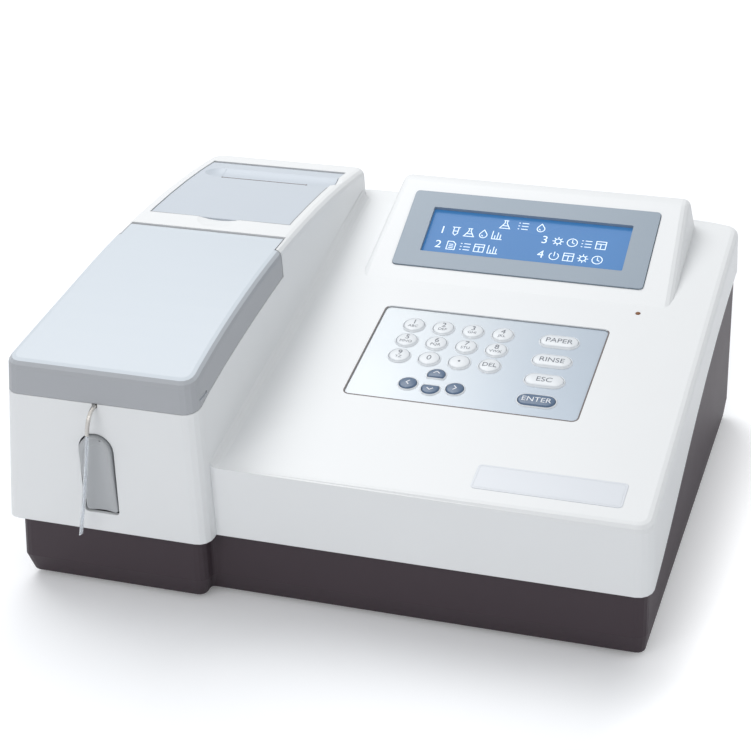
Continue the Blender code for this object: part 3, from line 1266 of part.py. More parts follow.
def make_rear():
    rear = CASE_DEPTH - BASE_INSET
    inlet = box(INLET_X - INLET_WIDTH / 2, INLET_X + INLET_WIDTH / 2, rear - 0.020, rear + GAP + 0.001,
                INLET_Z - INLET_HEIGHT / 2, INLET_Z + INLET_HEIGHT / 2)
    flange = prism(rectangle(INLET_X - INLET_WIDTH / 2 - 0.0020, INLET_X + INLET_WIDTH / 2 + 0.0020,
                             INLET_Z - INLET_HEIGHT / 2 - 0.0020,
                             INLET_Z + INLET_HEIGHT / 2 + 0.0020, 0.002, 3), "Y",
                   rear + GAP, rear + GAP + 0.002)
    join(inlet, flange)
    cavity = prism(rounded([(INLET_X - 0.0110, INLET_Z + 0.0072, 0.001),
                            (INLET_X - 0.0110, INLET_Z - 0.0030, 0.001),
                            (INLET_X - 0.0070, INLET_Z - 0.0072, 0.001),
                            (INLET_X + 0.0070, INLET_Z - 0.0072, 0.001),
                            (INLET_X + 0.0110, INLET_Z - 0.0030, 0.001),
                            (INLET_X + 0.0110, INLET_Z + 0.0072, 0.001)], 2), "Y",
                   rear - 0.0155, rear + 0.02)
    cut(inlet, cavity)
    for dx, dz in ((-0.0070, -0.0010), (0.0070, -0.0010), (0.0, 0.0030)):
        join(inlet, box(INLET_X + dx - 0.0010, INLET_X + dx + 0.0010, rear - 0.016, rear - 0.002,
                        INLET_Z + dz - 0.0020, INLET_Z + dz + 0.0020))
    inlet.name = "power_inlet"

    frame = box(INLET_X - SWITCH_WIDTH / 2, INLET_X + SWITCH_WIDTH / 2, rear - 0.014, rear + GAP + 0.001,
                SWITCH_Z - SWITCH_HEIGHT / 2, SWITCH_Z + SWITCH_HEIGHT / 2)
    join(frame, prism(rectangle(INLET_X - SWITCH_WIDTH / 2 - 0.0016, INLET_X + SWITCH_WIDTH / 2 + 0.0016,
                                SWITCH_Z - SWITCH_HEIGHT / 2 - 0.0016,
                                SWITCH_Z + SWITCH_HEIGHT / 2 + 0.0016, 0.001, 2), "Y",
                      rear + GAP, rear + GAP + 0.0015))
    wall = 0.0017
    cut(frame, box(INLET_X - SWITCH_WIDTH / 2 + wall, INLET_X + SWITCH_WIDTH / 2 - wall,
                   rear - 0.012, rear + 0.01, SWITCH_Z - SWITCH_HEIGHT / 2 + wall,
                   SWITCH_Z + SWITCH_HEIGHT / 2 - wall))
    pivot_y = rear - 0.0012
    cut(frame, rod("X", pivot_y, SWITCH_Z, INLET_X - SWITCH_WIDTH / 2 + 0.0004,
                   INLET_X + SWITCH_WIDTH / 2 - 0.0004, ROCKER_PIN_RADIUS + GAP, 12))
    frame.name = "switch_frame"
    reach = SWITCH_HEIGHT / 2 - wall
    width = SWITCH_WIDTH / 2 - wall - GAP
    outline = [(-0.0045, -reach * 0.33), (-0.0045, reach * 0.33), (-0.0008, reach * 0.86),
               (0.0030, reach * 0.88), (0.0018, 0.0), (0.0030, -reach * 0.88),
               (-0.0008, -reach * 0.86)]
    rocker = prism(outline, "X", -width, width)
    join(rocker, rod("X", 0, 0, -width - wall * 0.6, width + wall * 0.6, ROCKER_PIN_RADIUS, 12))
    shift(rocker, Matrix.Rotation(math.radians(-7), 4, "X"))
    rocker.location = (INLET_X, pivot_y, SWITCH_Z)
    rocker.name = "power_rocker"

    port = box(PORT_X - PORT_WIDTH / 2, PORT_X + PORT_WIDTH / 2, rear - 0.010, rear + 0.0015,
               PORT_Z - PORT_HEIGHT / 2, PORT_Z + PORT_HEIGHT / 2)
    join(port, prism(rectangle(PORT_X - 0.0154, PORT_X + 0.0154, PORT_Z - 0.0062, PORT_Z + 0.0062,
                               0.0015, 3), "Y", rear + GAP, rear + GAP + 0.0010))
    def shell(grow):
        return rounded([(PORT_X - 0.0083 - grow, PORT_Z + 0.0042 + grow, 0.002),
                        (PORT_X - 0.0070 - grow, PORT_Z - 0.0042 - grow, 0.002),
                        (PORT_X + 0.0070 + grow, PORT_Z - 0.0042 - grow, 0.002),
                        (PORT_X + 0.0083 + grow, PORT_Z + 0.0042 + grow, 0.002)], 3)
    join(port, prism(shell(0.0), "Y", rear, rear + 0.0038))
    cut(port, prism(shell(-0.0006), "Y", rear - 0.003, rear + 0.01))
    for row, count in ((0.0014, 5), (-0.0014, 4)):
        for k in range(count):
            x = PORT_X + (k - (count - 1) / 2) * 0.00277
            join(port, rod("Y", x, PORT_Z + row, rear - 0.0035, rear + 0.0020, 0.0005, 6))
    port.name = "serial_port"
    return [inlet, frame, rocker, port]


def make_fan():
    rear = CASE_DEPTH - BASE_INSET - WALL - GAP
    front = rear - FAN_DEPTH
    half = FAN_SIZE / 2
    frame = prism(rectangle(FAN_X - half, FAN_X + half, FAN_Z - half, FAN_Z + half, 0.004, 3), "Y",
                  front, rear)
    cut(frame, rod("Y", FAN_X, FAN_Z, front - 0.01, rear + 0.01, half * 0.92, 32))
    join(frame, rod("Y", FAN_X, FAN_Z, front, front + 0.002, half * 0.40, 24))
    for k in range(4):
        strut = box(-0.0016, 0.0016, front, front + 0.002, 0, half * 0.95)
        shift(strut, Matrix.Translation((FAN_X, 0, FAN_Z))
              @ Matrix.Rotation(math.radians(45 + 90 * k), 4, "Y"))
        join(frame, strut)
    join(frame, rod("Y", FAN_X, FAN_Z, front + 0.001, front + 0.0085, 0.0015, 12))
    frame.name = "fan_frame"

    rotor = rod("Y", 0, 0, 0.0, 0.010, half * 0.42, 24)
    for k in range(7):
        blade = box(-0.0006, 0.0006, 0.0008, 0.0092, half * 0.30, half * 0.875)
        for vertex in blade.data.vertices:
            twist = (vertex.co.y - 0.005) * 0.9
            vertex.co.x += twist
        shift(blade, Matrix.Rotation(math.tau * k / 7, 4, "Y"))
        join(rotor, blade)
    cut(rotor, rod("Y", 0, 0, -0.001, 0.0068, 0.0015 + GAP, 16))
    rotor.location = (FAN_X, front + 0.002 + GAP, FAN_Z)
    rotor.name = "fan_rotor"
    return [frame, rotor]


def make_inner_boxes():
    board = box(BOARD_LEFT, BOARD_LEFT + BOARD_WIDTH, BOARD_FRONT, BOARD_FRONT + BOARD_DEPTH,
                BOARD_LEVEL, BOARD_LEVEL + BOARD_THICKNESS, "main_board")
    supply = box(SUPPLY_LEFT, SUPPLY_LEFT + SUPPLY_WIDTH, SUPPLY_FRONT,
                 SUPPLY_FRONT + SUPPLY_DEPTH, FOOT_HEIGHT + WALL + GAP,
                 FOOT_HEIGHT + WALL + GAP + SUPPLY_HEIGHT, "power_supply")
    low = DECK_TOP - DECK_THICKNESS - GAP
    optics = box(CELL_X - 0.026, CELL_X + 0.026, CELL_Y - 0.024, CELL_Y + 0.030,
                 low - 0.036, low, "photometer_housing")
    soften(optics, 0.002, lambda p: p.z < low - 0.035, segments=2)
    for obj, name in ((board, "main_board"), (supply, "power_supply"),
                      (optics, "photometer_housing")):
        obj.name = name
    return [board, supply, optics]


MATERIALS = {
    "case_white": ((0.80, 0.82, 0.83), 0.42, 0.0),
    "case_dark": ((0.055, 0.045, 0.052), 0.55, 0.0),
    "lid_grey": ((0.62, 0.67, 0.71), 0.45, 0.0),
    "bezel_grey": ((0.34, 0.40, 0.46), 0.40, 0.1),
    "screen": ((0.09, 0.26, 0.62), 0.15, 0.0),
    "panel_silver": ((0.60, 0.66, 0.73), 0.38, 0.2),
    "key_white": ((0.82, 0.84, 0.86), 0.45, 0.0),
    "key_slate": ((0.09, 0.14, 0.24), 0.45, 0.0),
    "paddle_grey": ((0.38, 0.39, 0.41), 0.50, 0.0),
    "steel": ((0.60, 0.60, 0.60), 0.22, 1.0),
    "clear_tube": ((0.85, 0.88, 0.90), 0.12, 0.0),
    "rubber": ((0.03, 0.03, 0.03), 0.85, 0.0),
    "black_plastic": ((0.03, 0.03, 0.03), 0.50, 0.0),
    "board_green": ((0.03, 0.16, 0.08), 0.55, 0.0),
    "paper": ((0.86, 0.86, 0.84), 0.80, 0.0),
    "led_amber": ((0.35, 0.16, 0.08), 0.30, 0.0),
}

DARK_KEYS = ("key_up", "key_down", "key_left", "key_right", "key_enter")


def material_for(name):
    table = {
        "upper_case": "case_white", "lower_case": "case_dark", "front_lid": "lid_grey",
        "printer_cover": "lid_grey", "display_bezel": "bezel_grey", "lcd_panel": "screen",
        "keypad_overlay": "panel_silver", "key_board": "board_green", "status_led": "led_amber",
        "trigger_paddle": "paddle_grey", "aspiration_needle": "steel",
        "aspiration_tube": "clear_tube", "sample_line": "clear_tube", "pump_tube": "clear_tube",
        "flow_cell": "clear_tube", "flow_cell_holder": "black_plastic",
        "pump_body": "bezel_grey", "pump_rotor": "key_white", "pump_motor": "steel",
        "paper_roll": "paper", "platen_roller": "rubber", "main_board": "board_green",
        "power_supply": "steel", "serial_port": "steel",
    }
    if name in DARK_KEYS:
        return "key_slate"
    if name.startswith("key_") and name not in table:
        return "key_white"
    if name.startswith("foot_"):
        return "rubber"
    if name.startswith("pump_roller"):
        return "steel"
    return table.get(name, "black_plastic")


def make_material(name):
    colour, roughness, metallic = MATERIALS[name]
    material = bpy.data.materials.new(name)
    material.use_nodes = True
    shader = material.node_tree.nodes["Principled BSDF"]
    shader.inputs["Base Color"].default_value = (*colour, 1.0)
    shader.inputs["Roughness"].default_value = roughness
    shader.inputs["Metallic"].default_value = metallic
    return material


def hinge_origin(obj, y, z):
    shift(obj, Matrix.Translation((0, -y, -z)))
    obj.location = (0, y, z)
    return obj


def plan_middle(parts):
    """The middle of the plan of all parts, measured without the free tube."""
    points = [vertex.co + obj.location for obj in parts if obj.name != "aspiration_tube"
              for vertex in obj.data.vertices]
    across = [point.x for point in points]
    deep = [point.y for point in points]
    return Vector(((min(across) + max(across)) / 2, (min(deep) + max(deep)) / 2, 0))


def build():
    upper, outer_block = make_upper_case()
    shaft = rod("Z", PUMP_X, PUMP_Y, DECK_TOP - 0.01, DECK_TOP + 0.01, 0.0023, 16)
    waste = rod("Z", PUMP_X + PUMP_TUBE_ORBIT - 0.0004, WASTE_Y, DECK_TOP - 0.01, DECK_TOP + 0.01,
                PUMP_TUBE_RADIUS + GAP, 16)
    cut(upper, shaft, waste)
    parts = [upper, make_lower_case()]
    parts.append(hinge_origin(make_lid(outer_block), HINGE_Y, HINGE_Z))
    parts.append(hinge_origin(make_printer_cover(), COVER_HINGE_Y, COVER_HINGE_Z))
    parts += [make_bezel(), make_lcd(), make_overlay(), make_key_board(), make_led(), make_paddle(),
              make_needle(), make_aspiration_tube()]
    parts += make_keys() + make_feet() + make_flow_cell() + make_pump() + make_tubes()
    parts += make_printer() + make_rear() + make_fan() + make_inner_boxes()
    middle = plan_middle(parts)
    library = {name: make_material(name) for name in MATERIALS}
    for obj in parts:
        obj.location = obj.location - middle
        obj.data.materials.clear()
        obj.data.materials.append(library[material_for(obj.name)])
        obj.data.shade_smooth()
        obj.data.set_sharp_from_angle(angle=math.radians(32))
    return parts


build()
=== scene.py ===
# %% [markdown]
# # A bench chemistry analyser, dressed for its picture
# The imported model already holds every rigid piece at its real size. This lesson gives each piece
# its finish, adds what is too fine to be a solid, such as key legends, the picture on the display
# and screw heads, and sets up the camera, the floor and the light.

# %% Load the frame
import json
import math

import bpy
from mathutils import Matrix, Vector


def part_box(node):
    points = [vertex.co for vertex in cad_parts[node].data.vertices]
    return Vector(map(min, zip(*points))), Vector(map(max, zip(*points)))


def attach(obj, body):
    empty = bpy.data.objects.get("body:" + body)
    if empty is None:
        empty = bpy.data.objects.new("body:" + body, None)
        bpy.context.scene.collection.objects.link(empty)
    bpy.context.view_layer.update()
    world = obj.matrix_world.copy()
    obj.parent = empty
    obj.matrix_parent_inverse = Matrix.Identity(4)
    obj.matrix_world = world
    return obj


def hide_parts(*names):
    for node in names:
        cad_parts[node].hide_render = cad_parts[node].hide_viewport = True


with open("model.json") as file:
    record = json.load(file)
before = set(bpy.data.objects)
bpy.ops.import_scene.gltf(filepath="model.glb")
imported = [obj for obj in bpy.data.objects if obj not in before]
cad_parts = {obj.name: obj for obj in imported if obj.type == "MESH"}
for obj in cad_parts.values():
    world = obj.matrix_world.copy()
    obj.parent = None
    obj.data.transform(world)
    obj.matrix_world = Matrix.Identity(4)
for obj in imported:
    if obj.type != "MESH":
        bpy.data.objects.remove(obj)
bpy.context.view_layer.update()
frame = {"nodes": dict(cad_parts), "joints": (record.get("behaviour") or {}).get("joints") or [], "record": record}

MM = 0.001

# %% [markdown]
# ## Where the camera stands
# The picture was taken from the front, a little to the right of the machine and well above it.
# Solving the edges of the case for one camera gave the place and the three angles below. A long
# lens keeps the upright edges nearly parallel, so no lens shift is needed.

# %% Camera
CAMERA_PLACE = Vector((0.3395, -1.0221, 0.6619))
CAMERA_LENS = 93.47
CAMERA_YAW = math.radians(18.87)
CAMERA_PITCH = math.radians(-28.07)
CAMERA_ROLL = math.radians(-2.16)
SENSOR_WIDTH = 36
NEAREST = 0.01

camera_data = bpy.data.cameras.new("camera")
camera_data.lens = CAMERA_LENS
camera_data.sensor_width = SENSOR_WIDTH
camera_data.clip_start = NEAREST
camera = bpy.data.objects.new("camera", camera_data)
bpy.context.scene.collection.objects.link(camera)
camera.matrix_world = (Matrix.Translation(CAMERA_PLACE)
                       @ Matrix.Rotation(CAMERA_YAW, 4, "Z")
                       @ Matrix.Rotation(math.pi / 2 + CAMERA_PITCH, 4, "X")
                       @ Matrix.Rotation(CAMERA_ROLL, 4, "Z"))
bpy.context.scene.camera = camera
sight = camera.matrix_world.to_3x3() @ Vector((0, 0, -1))
print("camera looks along", [round(c, 3) for c in sight])

# %% [markdown]
# ## Sums on a finish
# A finish is a small network of nodes. Writing it as sums is easier to read than a drawing, so one
# class wraps an output and turns + - * into Math nodes. Everything else comes from one method,
# which sets a node's settings first and its sockets afterwards.


# %% A value that can be added and multiplied
class Flow:
    """One output of a node, on its way to another node."""

    def __init__(self, finish, socket):
        self.finish = finish
        self.socket = socket

    def maths(self, operation, first, second):
        return self.finish.add("ShaderNodeMath", {"operation": operation}, {0: first, 1: second})

    def __add__(self, other):
        return self.maths("ADD", self, other)

    def __radd__(self, other):
        return self.maths("ADD", other, self)

    def __sub__(self, other):
        return self.maths("SUBTRACT", self, other)

    def __mul__(self, other):
        return self.maths("MULTIPLY", self, other)


# %% A finish, and the one way to add a node to it
class Finish:
    """A material whose nodes are added with sums and with add()."""

    def __init__(self, name):
        self.material = bpy.data.materials.new(name)
        self.material.use_nodes = True
        self.tree = self.material.node_tree
        self.shader = self.tree.nodes["Principled BSDF"]

    def add(self, kind, settings=None, sockets=None, out=0):
        node = self.tree.nodes.new(kind)
        for key, value in (settings or {}).items():
            setattr(node, key, value)
        for key, value in (sockets or {}).items():
            self.feed(node.inputs[key], value)
        return Flow(self, node.outputs[out])

    def feed(self, socket, value):
        if isinstance(value, Flow):
            self.tree.links.new(value.socket, socket)
        else:
            socket.default_value = value

    def set(self, **sockets):
        for key, value in sockets.items():
            self.feed(self.shader.inputs[key.replace("_", " ")], value)
        return self

    def blend(self, mask, first, second):
        return self.add("ShaderNodeMix", {"data_type": "RGBA"},
                        {0: mask, 6: first, 7: second}, out=2)

    def noise(self, scale, detail, stretch=(1, 1, 1)):
        place = self.add("ShaderNodeTexCoord", out="Object")
        if stretch != (1, 1, 1):
            place = self.add("ShaderNodeMapping", {}, {"Vector": place, "Scale": stretch})
        return self.add("ShaderNodeTexNoise", {},
                        {"Vector": place, "Scale": scale, "Detail": detail})

    def smooth_range(self, value, low, high):
        """0 below low and 1 above high, with a soft change between."""
        return self.add("ShaderNodeMapRange", {"interpolation_type": "SMOOTHSTEP"},
                        {"Value": value, "From Min": low, "From Max": high})

    def coordinate(self, axis, source):
        return self.add("ShaderNodeSeparateXYZ", {}, {0: source}, out=axis)

    def rounded_edges(self, radius):
        return self.add("ShaderNodeBevel", {"samples": 4}, {"Radius": radius})

    def bump(self, height, strength, distance, edges=None):
        sockets = {"Height": height, "Strength": strength, "Distance": distance}
        if edges is not None:
            sockets["Normal"] = edges
        return self.add("ShaderNodeBump", {}, sockets)


def shade(colour, factor):
    return tuple(c * factor for c in colour[:3]) + (1.0,)


print("sums are ready")

# %% [markdown]
# ## Moulded plastic
# The white, grey and dark shells are injection moulded. Such a surface is never quite even: the
# tool leaves a fine spark-eroded grain, the gloss drifts slowly over a hand's width, and every
# edge of the mould has a tiny radius that catches a line of light. Noise at two scales makes the
# grain and the drift, and a Bevel node gives the edge its radius.


# %% Moulded finish
DRIFT_SCALE = 14.0
SLOW_GLOSS = 0.10
FINE_GLOSS = 0.06
GRAIN_HEIGHT = 0.05 * MM


def moulded(name, colour, gloss=0.42, grain=0.35, depth=0.10, drift=0.02, edge=0.4):
    """Moulded plastic; grain and edge radius in millimetres."""
    finish = Finish(name)
    slow = finish.noise(DRIFT_SCALE, 3.0)
    fine = finish.noise(1 / (grain * MM), 1.0)
    tint = finish.blend(slow, shade(colour, 1 - drift), shade(colour, 1 + drift))
    normal = finish.bump(fine, depth, GRAIN_HEIGHT, finish.rounded_edges(edge * MM))
    roughness = (slow - 0.5) * SLOW_GLOSS + (fine - 0.5) * FINE_GLOSS + gloss
    finish.set(Base_Color=tint, Roughness=roughness, Normal=normal)
    return finish


WHITE = (0.80, 0.815, 0.825)
# The next two are the lid's pale top, painted light, and its darker rim, painted shade.
GREY_TOP_PAINTED_LIGHT = (0.60, 0.655, 0.71)
GREY_RIM_PAINTED_SHADE = (0.405, 0.42, 0.445)
DARK = (0.050, 0.036, 0.044)

case_white = moulded("case_white", WHITE, gloss=0.40)
case_dark = moulded("case_dark", DARK, gloss=0.46, grain=0.6, depth=0.22, drift=0.06)
case_dark.set(Specular_IOR_Level=0.3)
paddle_grey = moulded("paddle_grey", (0.44, 0.455, 0.47), gloss=0.45)
bezel_grey = moulded("bezel_grey", (0.255, 0.315, 0.38), gloss=0.38, grain=0.25)
cover_grey = moulded("cover_grey", (0.54, 0.59, 0.65), gloss=0.42)
black_plastic = moulded("black_plastic", (0.022, 0.022, 0.024), gloss=0.48, depth=0.3)
pump_grey = moulded("pump_grey", (0.30, 0.31, 0.32), gloss=0.5)
print("moulded finishes made")

# %% [markdown]
# The sample lid reads as two greys: a pale top of painted light and a darker rim of painted shade.
# The change follows the turn of the surface, so the finish mixes the two by how far the surface faces up.

# %% Lid finish
RIM_FACING = 0.55
TOP_FACING = 0.93

lid_grey = moulded("lid_grey", GREY_RIM_PAINTED_SHADE, gloss=0.42)
facing = lid_grey.coordinate("Z", lid_grey.add("ShaderNodeNewGeometry", out="Normal"))
# painted light: the lid is paler where it faces up and darker on its rim
painted_light_mask = lid_grey.smooth_range(facing, RIM_FACING, TOP_FACING)
drifting = lid_grey.noise(DRIFT_SCALE, 3.0)
painted_lit_top = lid_grey.blend(drifting, shade(GREY_TOP_PAINTED_LIGHT, 0.985), shade(GREY_TOP_PAINTED_LIGHT, 1.015))
painted_shaded_rim = lid_grey.blend(drifting, shade(GREY_RIM_PAINTED_SHADE, 0.98), shade(GREY_RIM_PAINTED_SHADE, 1.02))
lid_grey.set(Base_Color=lid_grey.blend(painted_light_mask, painted_shaded_rim, painted_lit_top))
print("lid finish made")

# %% [markdown]
# ## Film, metal, rubber, board and paper
# The key panel is a silver film printed from behind, so it is smoother than the case. Its colour fades
# from near white at the left to blue-grey at the right, a painted reflection. Drawn steel has fine lines
# along its length, rubber is almost without gloss, and the boards carry a faint grid of tracks.

# %% Film finish
panel_low, panel_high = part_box("keypad_overlay")


def silver_film():
    finish = Finish("panel_silver")
    across = finish.coordinate("X", finish.add("ShaderNodeTexCoord", out="Object"))
    # painted reflection: the film is paler at the left and bluer at the right
    painted_reflection_fade = finish.smooth_range(across, panel_low.x, panel_high.x)
    flake = finish.noise(5200.0, 1.0)
    slow = finish.noise(20.0, 2.0)
    tint = finish.blend(painted_reflection_fade, (0.58, 0.62, 0.65, 1), (0.40, 0.465, 0.54, 1))
    tint = finish.blend(flake * 0.08, tint, (0.9, 0.93, 0.96, 1))
    normal = finish.bump(flake, 0.05, 0.03 * MM, finish.rounded_edges(0.2 * MM))
    finish.set(Base_Color=tint, Roughness=slow * 0.10 + 0.27, Metallic=0.15, Normal=normal)
    return finish


panel_silver = silver_film()


# %% Metals, rubber, boards, paper
def drawn_steel(name, colour, gloss, stretch):
    finish = Finish(name)
    lines = finish.noise(900.0, 2.0, stretch)
    tint = finish.blend(lines, shade(colour, 0.92), shade(colour, 1.05))
    normal = finish.bump(lines, 0.08, 0.02 * MM, finish.rounded_edges(0.15 * MM))
    finish.set(Base_Color=tint, Metallic=1.0, Roughness=lines * 0.12 + gloss, Normal=normal)
    return finish


def soft_rubber(name, colour):
    finish = Finish(name)
    grain = finish.noise(1500.0, 3.0)
    finish.set(Base_Color=finish.blend(grain, shade(colour, 0.8), shade(colour, 1.3)),
               Roughness=grain * 0.15 + 0.72, Normal=finish.bump(grain, 0.3, 0.06 * MM))
    return finish


def circuit_board():
    finish = Finish("board_green")
    tracks = finish.add("ShaderNodeTexBrick", {"offset": 0.37, "squash": 0.8},
                        {"Vector": finish.add("ShaderNodeTexCoord", out="Object"), "Scale": 90.0,
                         "Mortar Size": 0.06, "Color1": (1, 1, 1, 1), "Color2": (0.8, 0.8, 0.8, 1),
                         "Mortar": (0, 0, 0, 1)}, out="Fac")
    tint = finish.blend(tracks, (0.016, 0.13, 0.055, 1), (0.035, 0.22, 0.09, 1))
    finish.set(Base_Color=tint, Roughness=0.32 + tracks * 0.08,
               Normal=finish.bump(tracks, 0.3, 0.03 * MM))
    return finish


def thermal_paper():
    finish = Finish("paper")
    fibre = finish.noise(700.0, 4.0)
    wound = finish.noise(2400.0, 1.0, (0.02, 1, 1))
    finish.set(Base_Color=finish.blend(fibre, (0.80, 0.80, 0.78, 1), (0.88, 0.88, 0.87, 1)),
               Roughness=0.62 + fibre * 0.1, Normal=finish.bump(fibre + wound, 0.12, 0.04 * MM))
    return finish


steel = drawn_steel("steel", (0.62, 0.60, 0.57), 0.16, (1, 1, 0.05))
plate_steel = drawn_steel("plate_steel", (0.66, 0.67, 0.68), 0.30, (0.06, 1, 1))
rubber = soft_rubber("rubber", (0.030, 0.030, 0.031))
board_green = circuit_board()
paper = thermal_paper()
print("film, metal, rubber, board and paper made")


# %% [markdown]
# ## Clear tubing, display, lamp, keys and inks
# The tubing is clear plastic with a fine bore, so light goes through it and its edges look
# brighter than its middle. The display is a blue backlit panel: part of what the eye sees is
# painted, part is its own light. Keys, inks, seams and the plate are moulded finishes again.

# %% Clear, glowing, key and ink finishes
def clear_tubing():
    finish = Finish("clear_tube")
    cloud = finish.noise(260.0, 2.0)
    finish.set(Base_Color=finish.blend(cloud, (0.86, 0.90, 0.95, 1), (0.94, 0.96, 0.98, 1)),
               Roughness=cloud * 0.08 + 0.10, Normal=finish.bump(cloud, 0.05, 0.03 * MM),
               IOR=1.40, Transmission_Weight=0.72)
    return finish


def glowing(name, colour, glow, strength=1.0, gloss=0.25):
    finish = Finish(name)
    uneven = finish.noise(18.0, 2.0)
    finish.set(Base_Color=finish.blend(uneven, shade(colour, 0.97), shade(colour, 1.03)),
               Emission_Color=finish.blend(uneven, shade(glow, 0.97), shade(glow, 1.03)),
               Roughness=gloss + uneven * 0.04, Emission_Strength=strength,
               Specular_IOR_Level=0.2)
    return finish


clear_tube = clear_tubing()
screen = glowing("screen", (0.030, 0.090, 0.22), (0.030, 0.125, 0.29))
screen_dot = glowing("screen_dot", (0.50, 0.58, 0.66), (0.42, 0.50, 0.58))
led_amber = glowing("led_amber", (0.20, 0.085, 0.035), (0.10, 0.04, 0.015), 0.3, 0.2)

KEY = {"gloss": 0.34, "grain": 0.3, "depth": 0.05, "edge": 0.2}
key_white = moulded("key_white", (0.74, 0.77, 0.80), **KEY)
key_slate = moulded("key_slate", (0.072, 0.128, 0.220), **KEY)
legend_grey = moulded("legend_grey", (0.12, 0.135, 0.165), gloss=0.5, edge=0.02)
legend_white = moulded("legend_white", (0.78, 0.80, 0.83), gloss=0.5, edge=0.02)
# Seam strips: the dark and mid-grey ones are painted shade, the pale one a painted highlight.
seam_painted_shade = moulded("seam_painted_shade", (0.13, 0.11, 0.11), gloss=0.55, edge=0.02)
seam_painted_highlight = moulded("seam_painted_highlight", (0.50, 0.53, 0.56), gloss=0.5, edge=0.02)
joint_painted_shade = moulded("joint_painted_shade", (0.27, 0.28, 0.30), gloss=0.5, edge=0.02)
# The slit's brown is painted shade.
slit_painted_shade = moulded("slit_painted_shade", (0.085, 0.055, 0.052), gloss=0.55, edge=0.02)
plate_pale = moulded("plate_pale", (0.70, 0.73, 0.775), gloss=0.30, grain=0.25, depth=0.04)
print("clear, glowing and key finishes made")

# %% [markdown]
# ## Every node gets its finish
# The record names a material slot for each node. Most slots map to one finish; a few nodes want
# their own.

# %% Dress the nodes
BY_SLOT = {"case_white": case_white, "case_dark": case_dark, "lid_grey": lid_grey,
           "bezel_grey": bezel_grey, "screen": screen, "panel_silver": panel_silver,
           "key_white": key_white, "key_slate": key_slate, "paddle_grey": paddle_grey,
           "steel": plate_steel, "clear_tube": clear_tube, "rubber": rubber,
           "black_plastic": black_plastic, "board_green": board_green, "paper": paper,
           "led_amber": led_amber}
BY_NODE = {"printer_cover": cover_grey, "pump_body": pump_grey, "aspiration_needle": steel}

for part in frame["record"]["subparts"]:
    node = frame["nodes"][part["node"]]
    finish = BY_NODE.get(part["node"], BY_SLOT[part["material_slot"]])
    node.data.materials.clear()
    node.data.materials.append(finish.material)
print("dressed", len(frame["nodes"]), "nodes")


# %% [markdown]
# ## Two sloping work planes
# Keys and legends lie on the sloping top, and the display lies on the steeper hood. A matrix for
# each plane lets everything be drawn flat: x to the right, y up the slope, z out of the surface.
# The top's tilt is read from a key's travel, which runs straight into the surface.

# %% Work planes
HOOD_TILT = math.radians(23.7)
LCD_THICKNESS = 8.0 * MM
KEY_HEIGHT = 5.4 * MM

press = next(joint for joint in frame["joints"] if joint["name"] == "key_1_press")
top_normal = -Vector(press["axis"])
top_tilt = math.atan2(-top_normal.y, top_normal.z)


def middle(node):
    low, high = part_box(node)
    return (low + high) / 2


def plane_at(place, tilt):
    return Matrix.Translation(place) @ Matrix.Rotation(tilt, 4, "X")


def key_plane(node):
    return plane_at(middle(node) + top_normal * KEY_HEIGHT / 2, top_tilt)


display_plane = (plane_at(middle("lcd_panel"), HOOD_TILT)
                 @ Matrix.Translation((0, 0, LCD_THICKNESS / 2)))
print("top slopes", round(math.degrees(top_tilt), 2), "degrees")


# %% Build a piece from points and faces
def piece(name, verts, faces, finish, body, smooth=None):
    mesh = bpy.data.meshes.new(name)
    mesh.from_pydata([tuple(v) for v in verts], [], faces)
    mesh.validate()
    mesh.materials.append(finish.material)
    if smooth is not None:
        mesh.shade_smooth()
        mesh.set_sharp_from_angle(angle=math.radians(smooth))
    obj = bpy.data.objects.new(name, mesh)
    bpy.context.scene.collection.objects.link(obj)
    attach(obj, body)
    return obj


def add_prism(verts, faces, outline, low, high, plane):
    """One flat outline pushed from low to high, added to a growing list of points and faces."""
    start = len(verts)
    count = len(outline)
    for z in (low, high):
        verts.extend(plane @ Vector((x, y, z)) for x, y in outline)
    faces.append(tuple(range(start + count - 1, start - 1, -1)))
    faces.append(tuple(range(start + count, start + 2 * count)))
    for k in range(count):
        after = (k + 1) % count
        faces.append((start + k, start + after, start + count + after, start + count + k))


def layered(rings, plane):
    """A solid from plans at rising heights, closed below and above."""
    count = len(rings[0][0])
    verts = [plane @ Vector((x, y, height)) for plan, height in rings for x, y in plan]
    last = (len(rings) - 1) * count
    faces = [tuple(range(count - 1, -1, -1)), tuple(range(last, last + count))]
    for ring in range(len(rings) - 1):
        for k in range(count):
            after = (k + 1) % count
            low, high = ring * count, (ring + 1) * count
            faces.append((low + k, low + after, high + after, high + k))
    return verts, faces


print("pieces can be built")

# %% [markdown]
# ## Key caps
# A moulded key has straight sides, a soft shoulder and a slightly pillowed top. Its plan is drawn
# once as a function of how far it is moved in, and rings of that plan at rising heights make the
# cap. A pill is a stadium, a round key is a stadium with no straight part, and the two upright
# arrow keys are circles with one flat side.


# %% Key plans
PILLS = ("key_paper", "key_rinse", "key_escape", "key_enter")
SLATE_KEYS = ("key_up", "key_down", "key_left", "key_right", "key_enter")
PILL_WIDTH = 11.2 * MM
FLAT_KEY_HEIGHT = 9.0 * MM


def stadium(length, width, inset, steps=14):
    radius = width / 2 - inset
    reach = (length - width) / 2
    plan = []
    for side, start in ((1, -math.pi / 2), (-1, math.pi / 2)):
        for k in range(steps + 1):
            angle = start + math.pi * k / steps
            plan.append((side * reach + radius * math.cos(angle), radius * math.sin(angle)))
    return plan


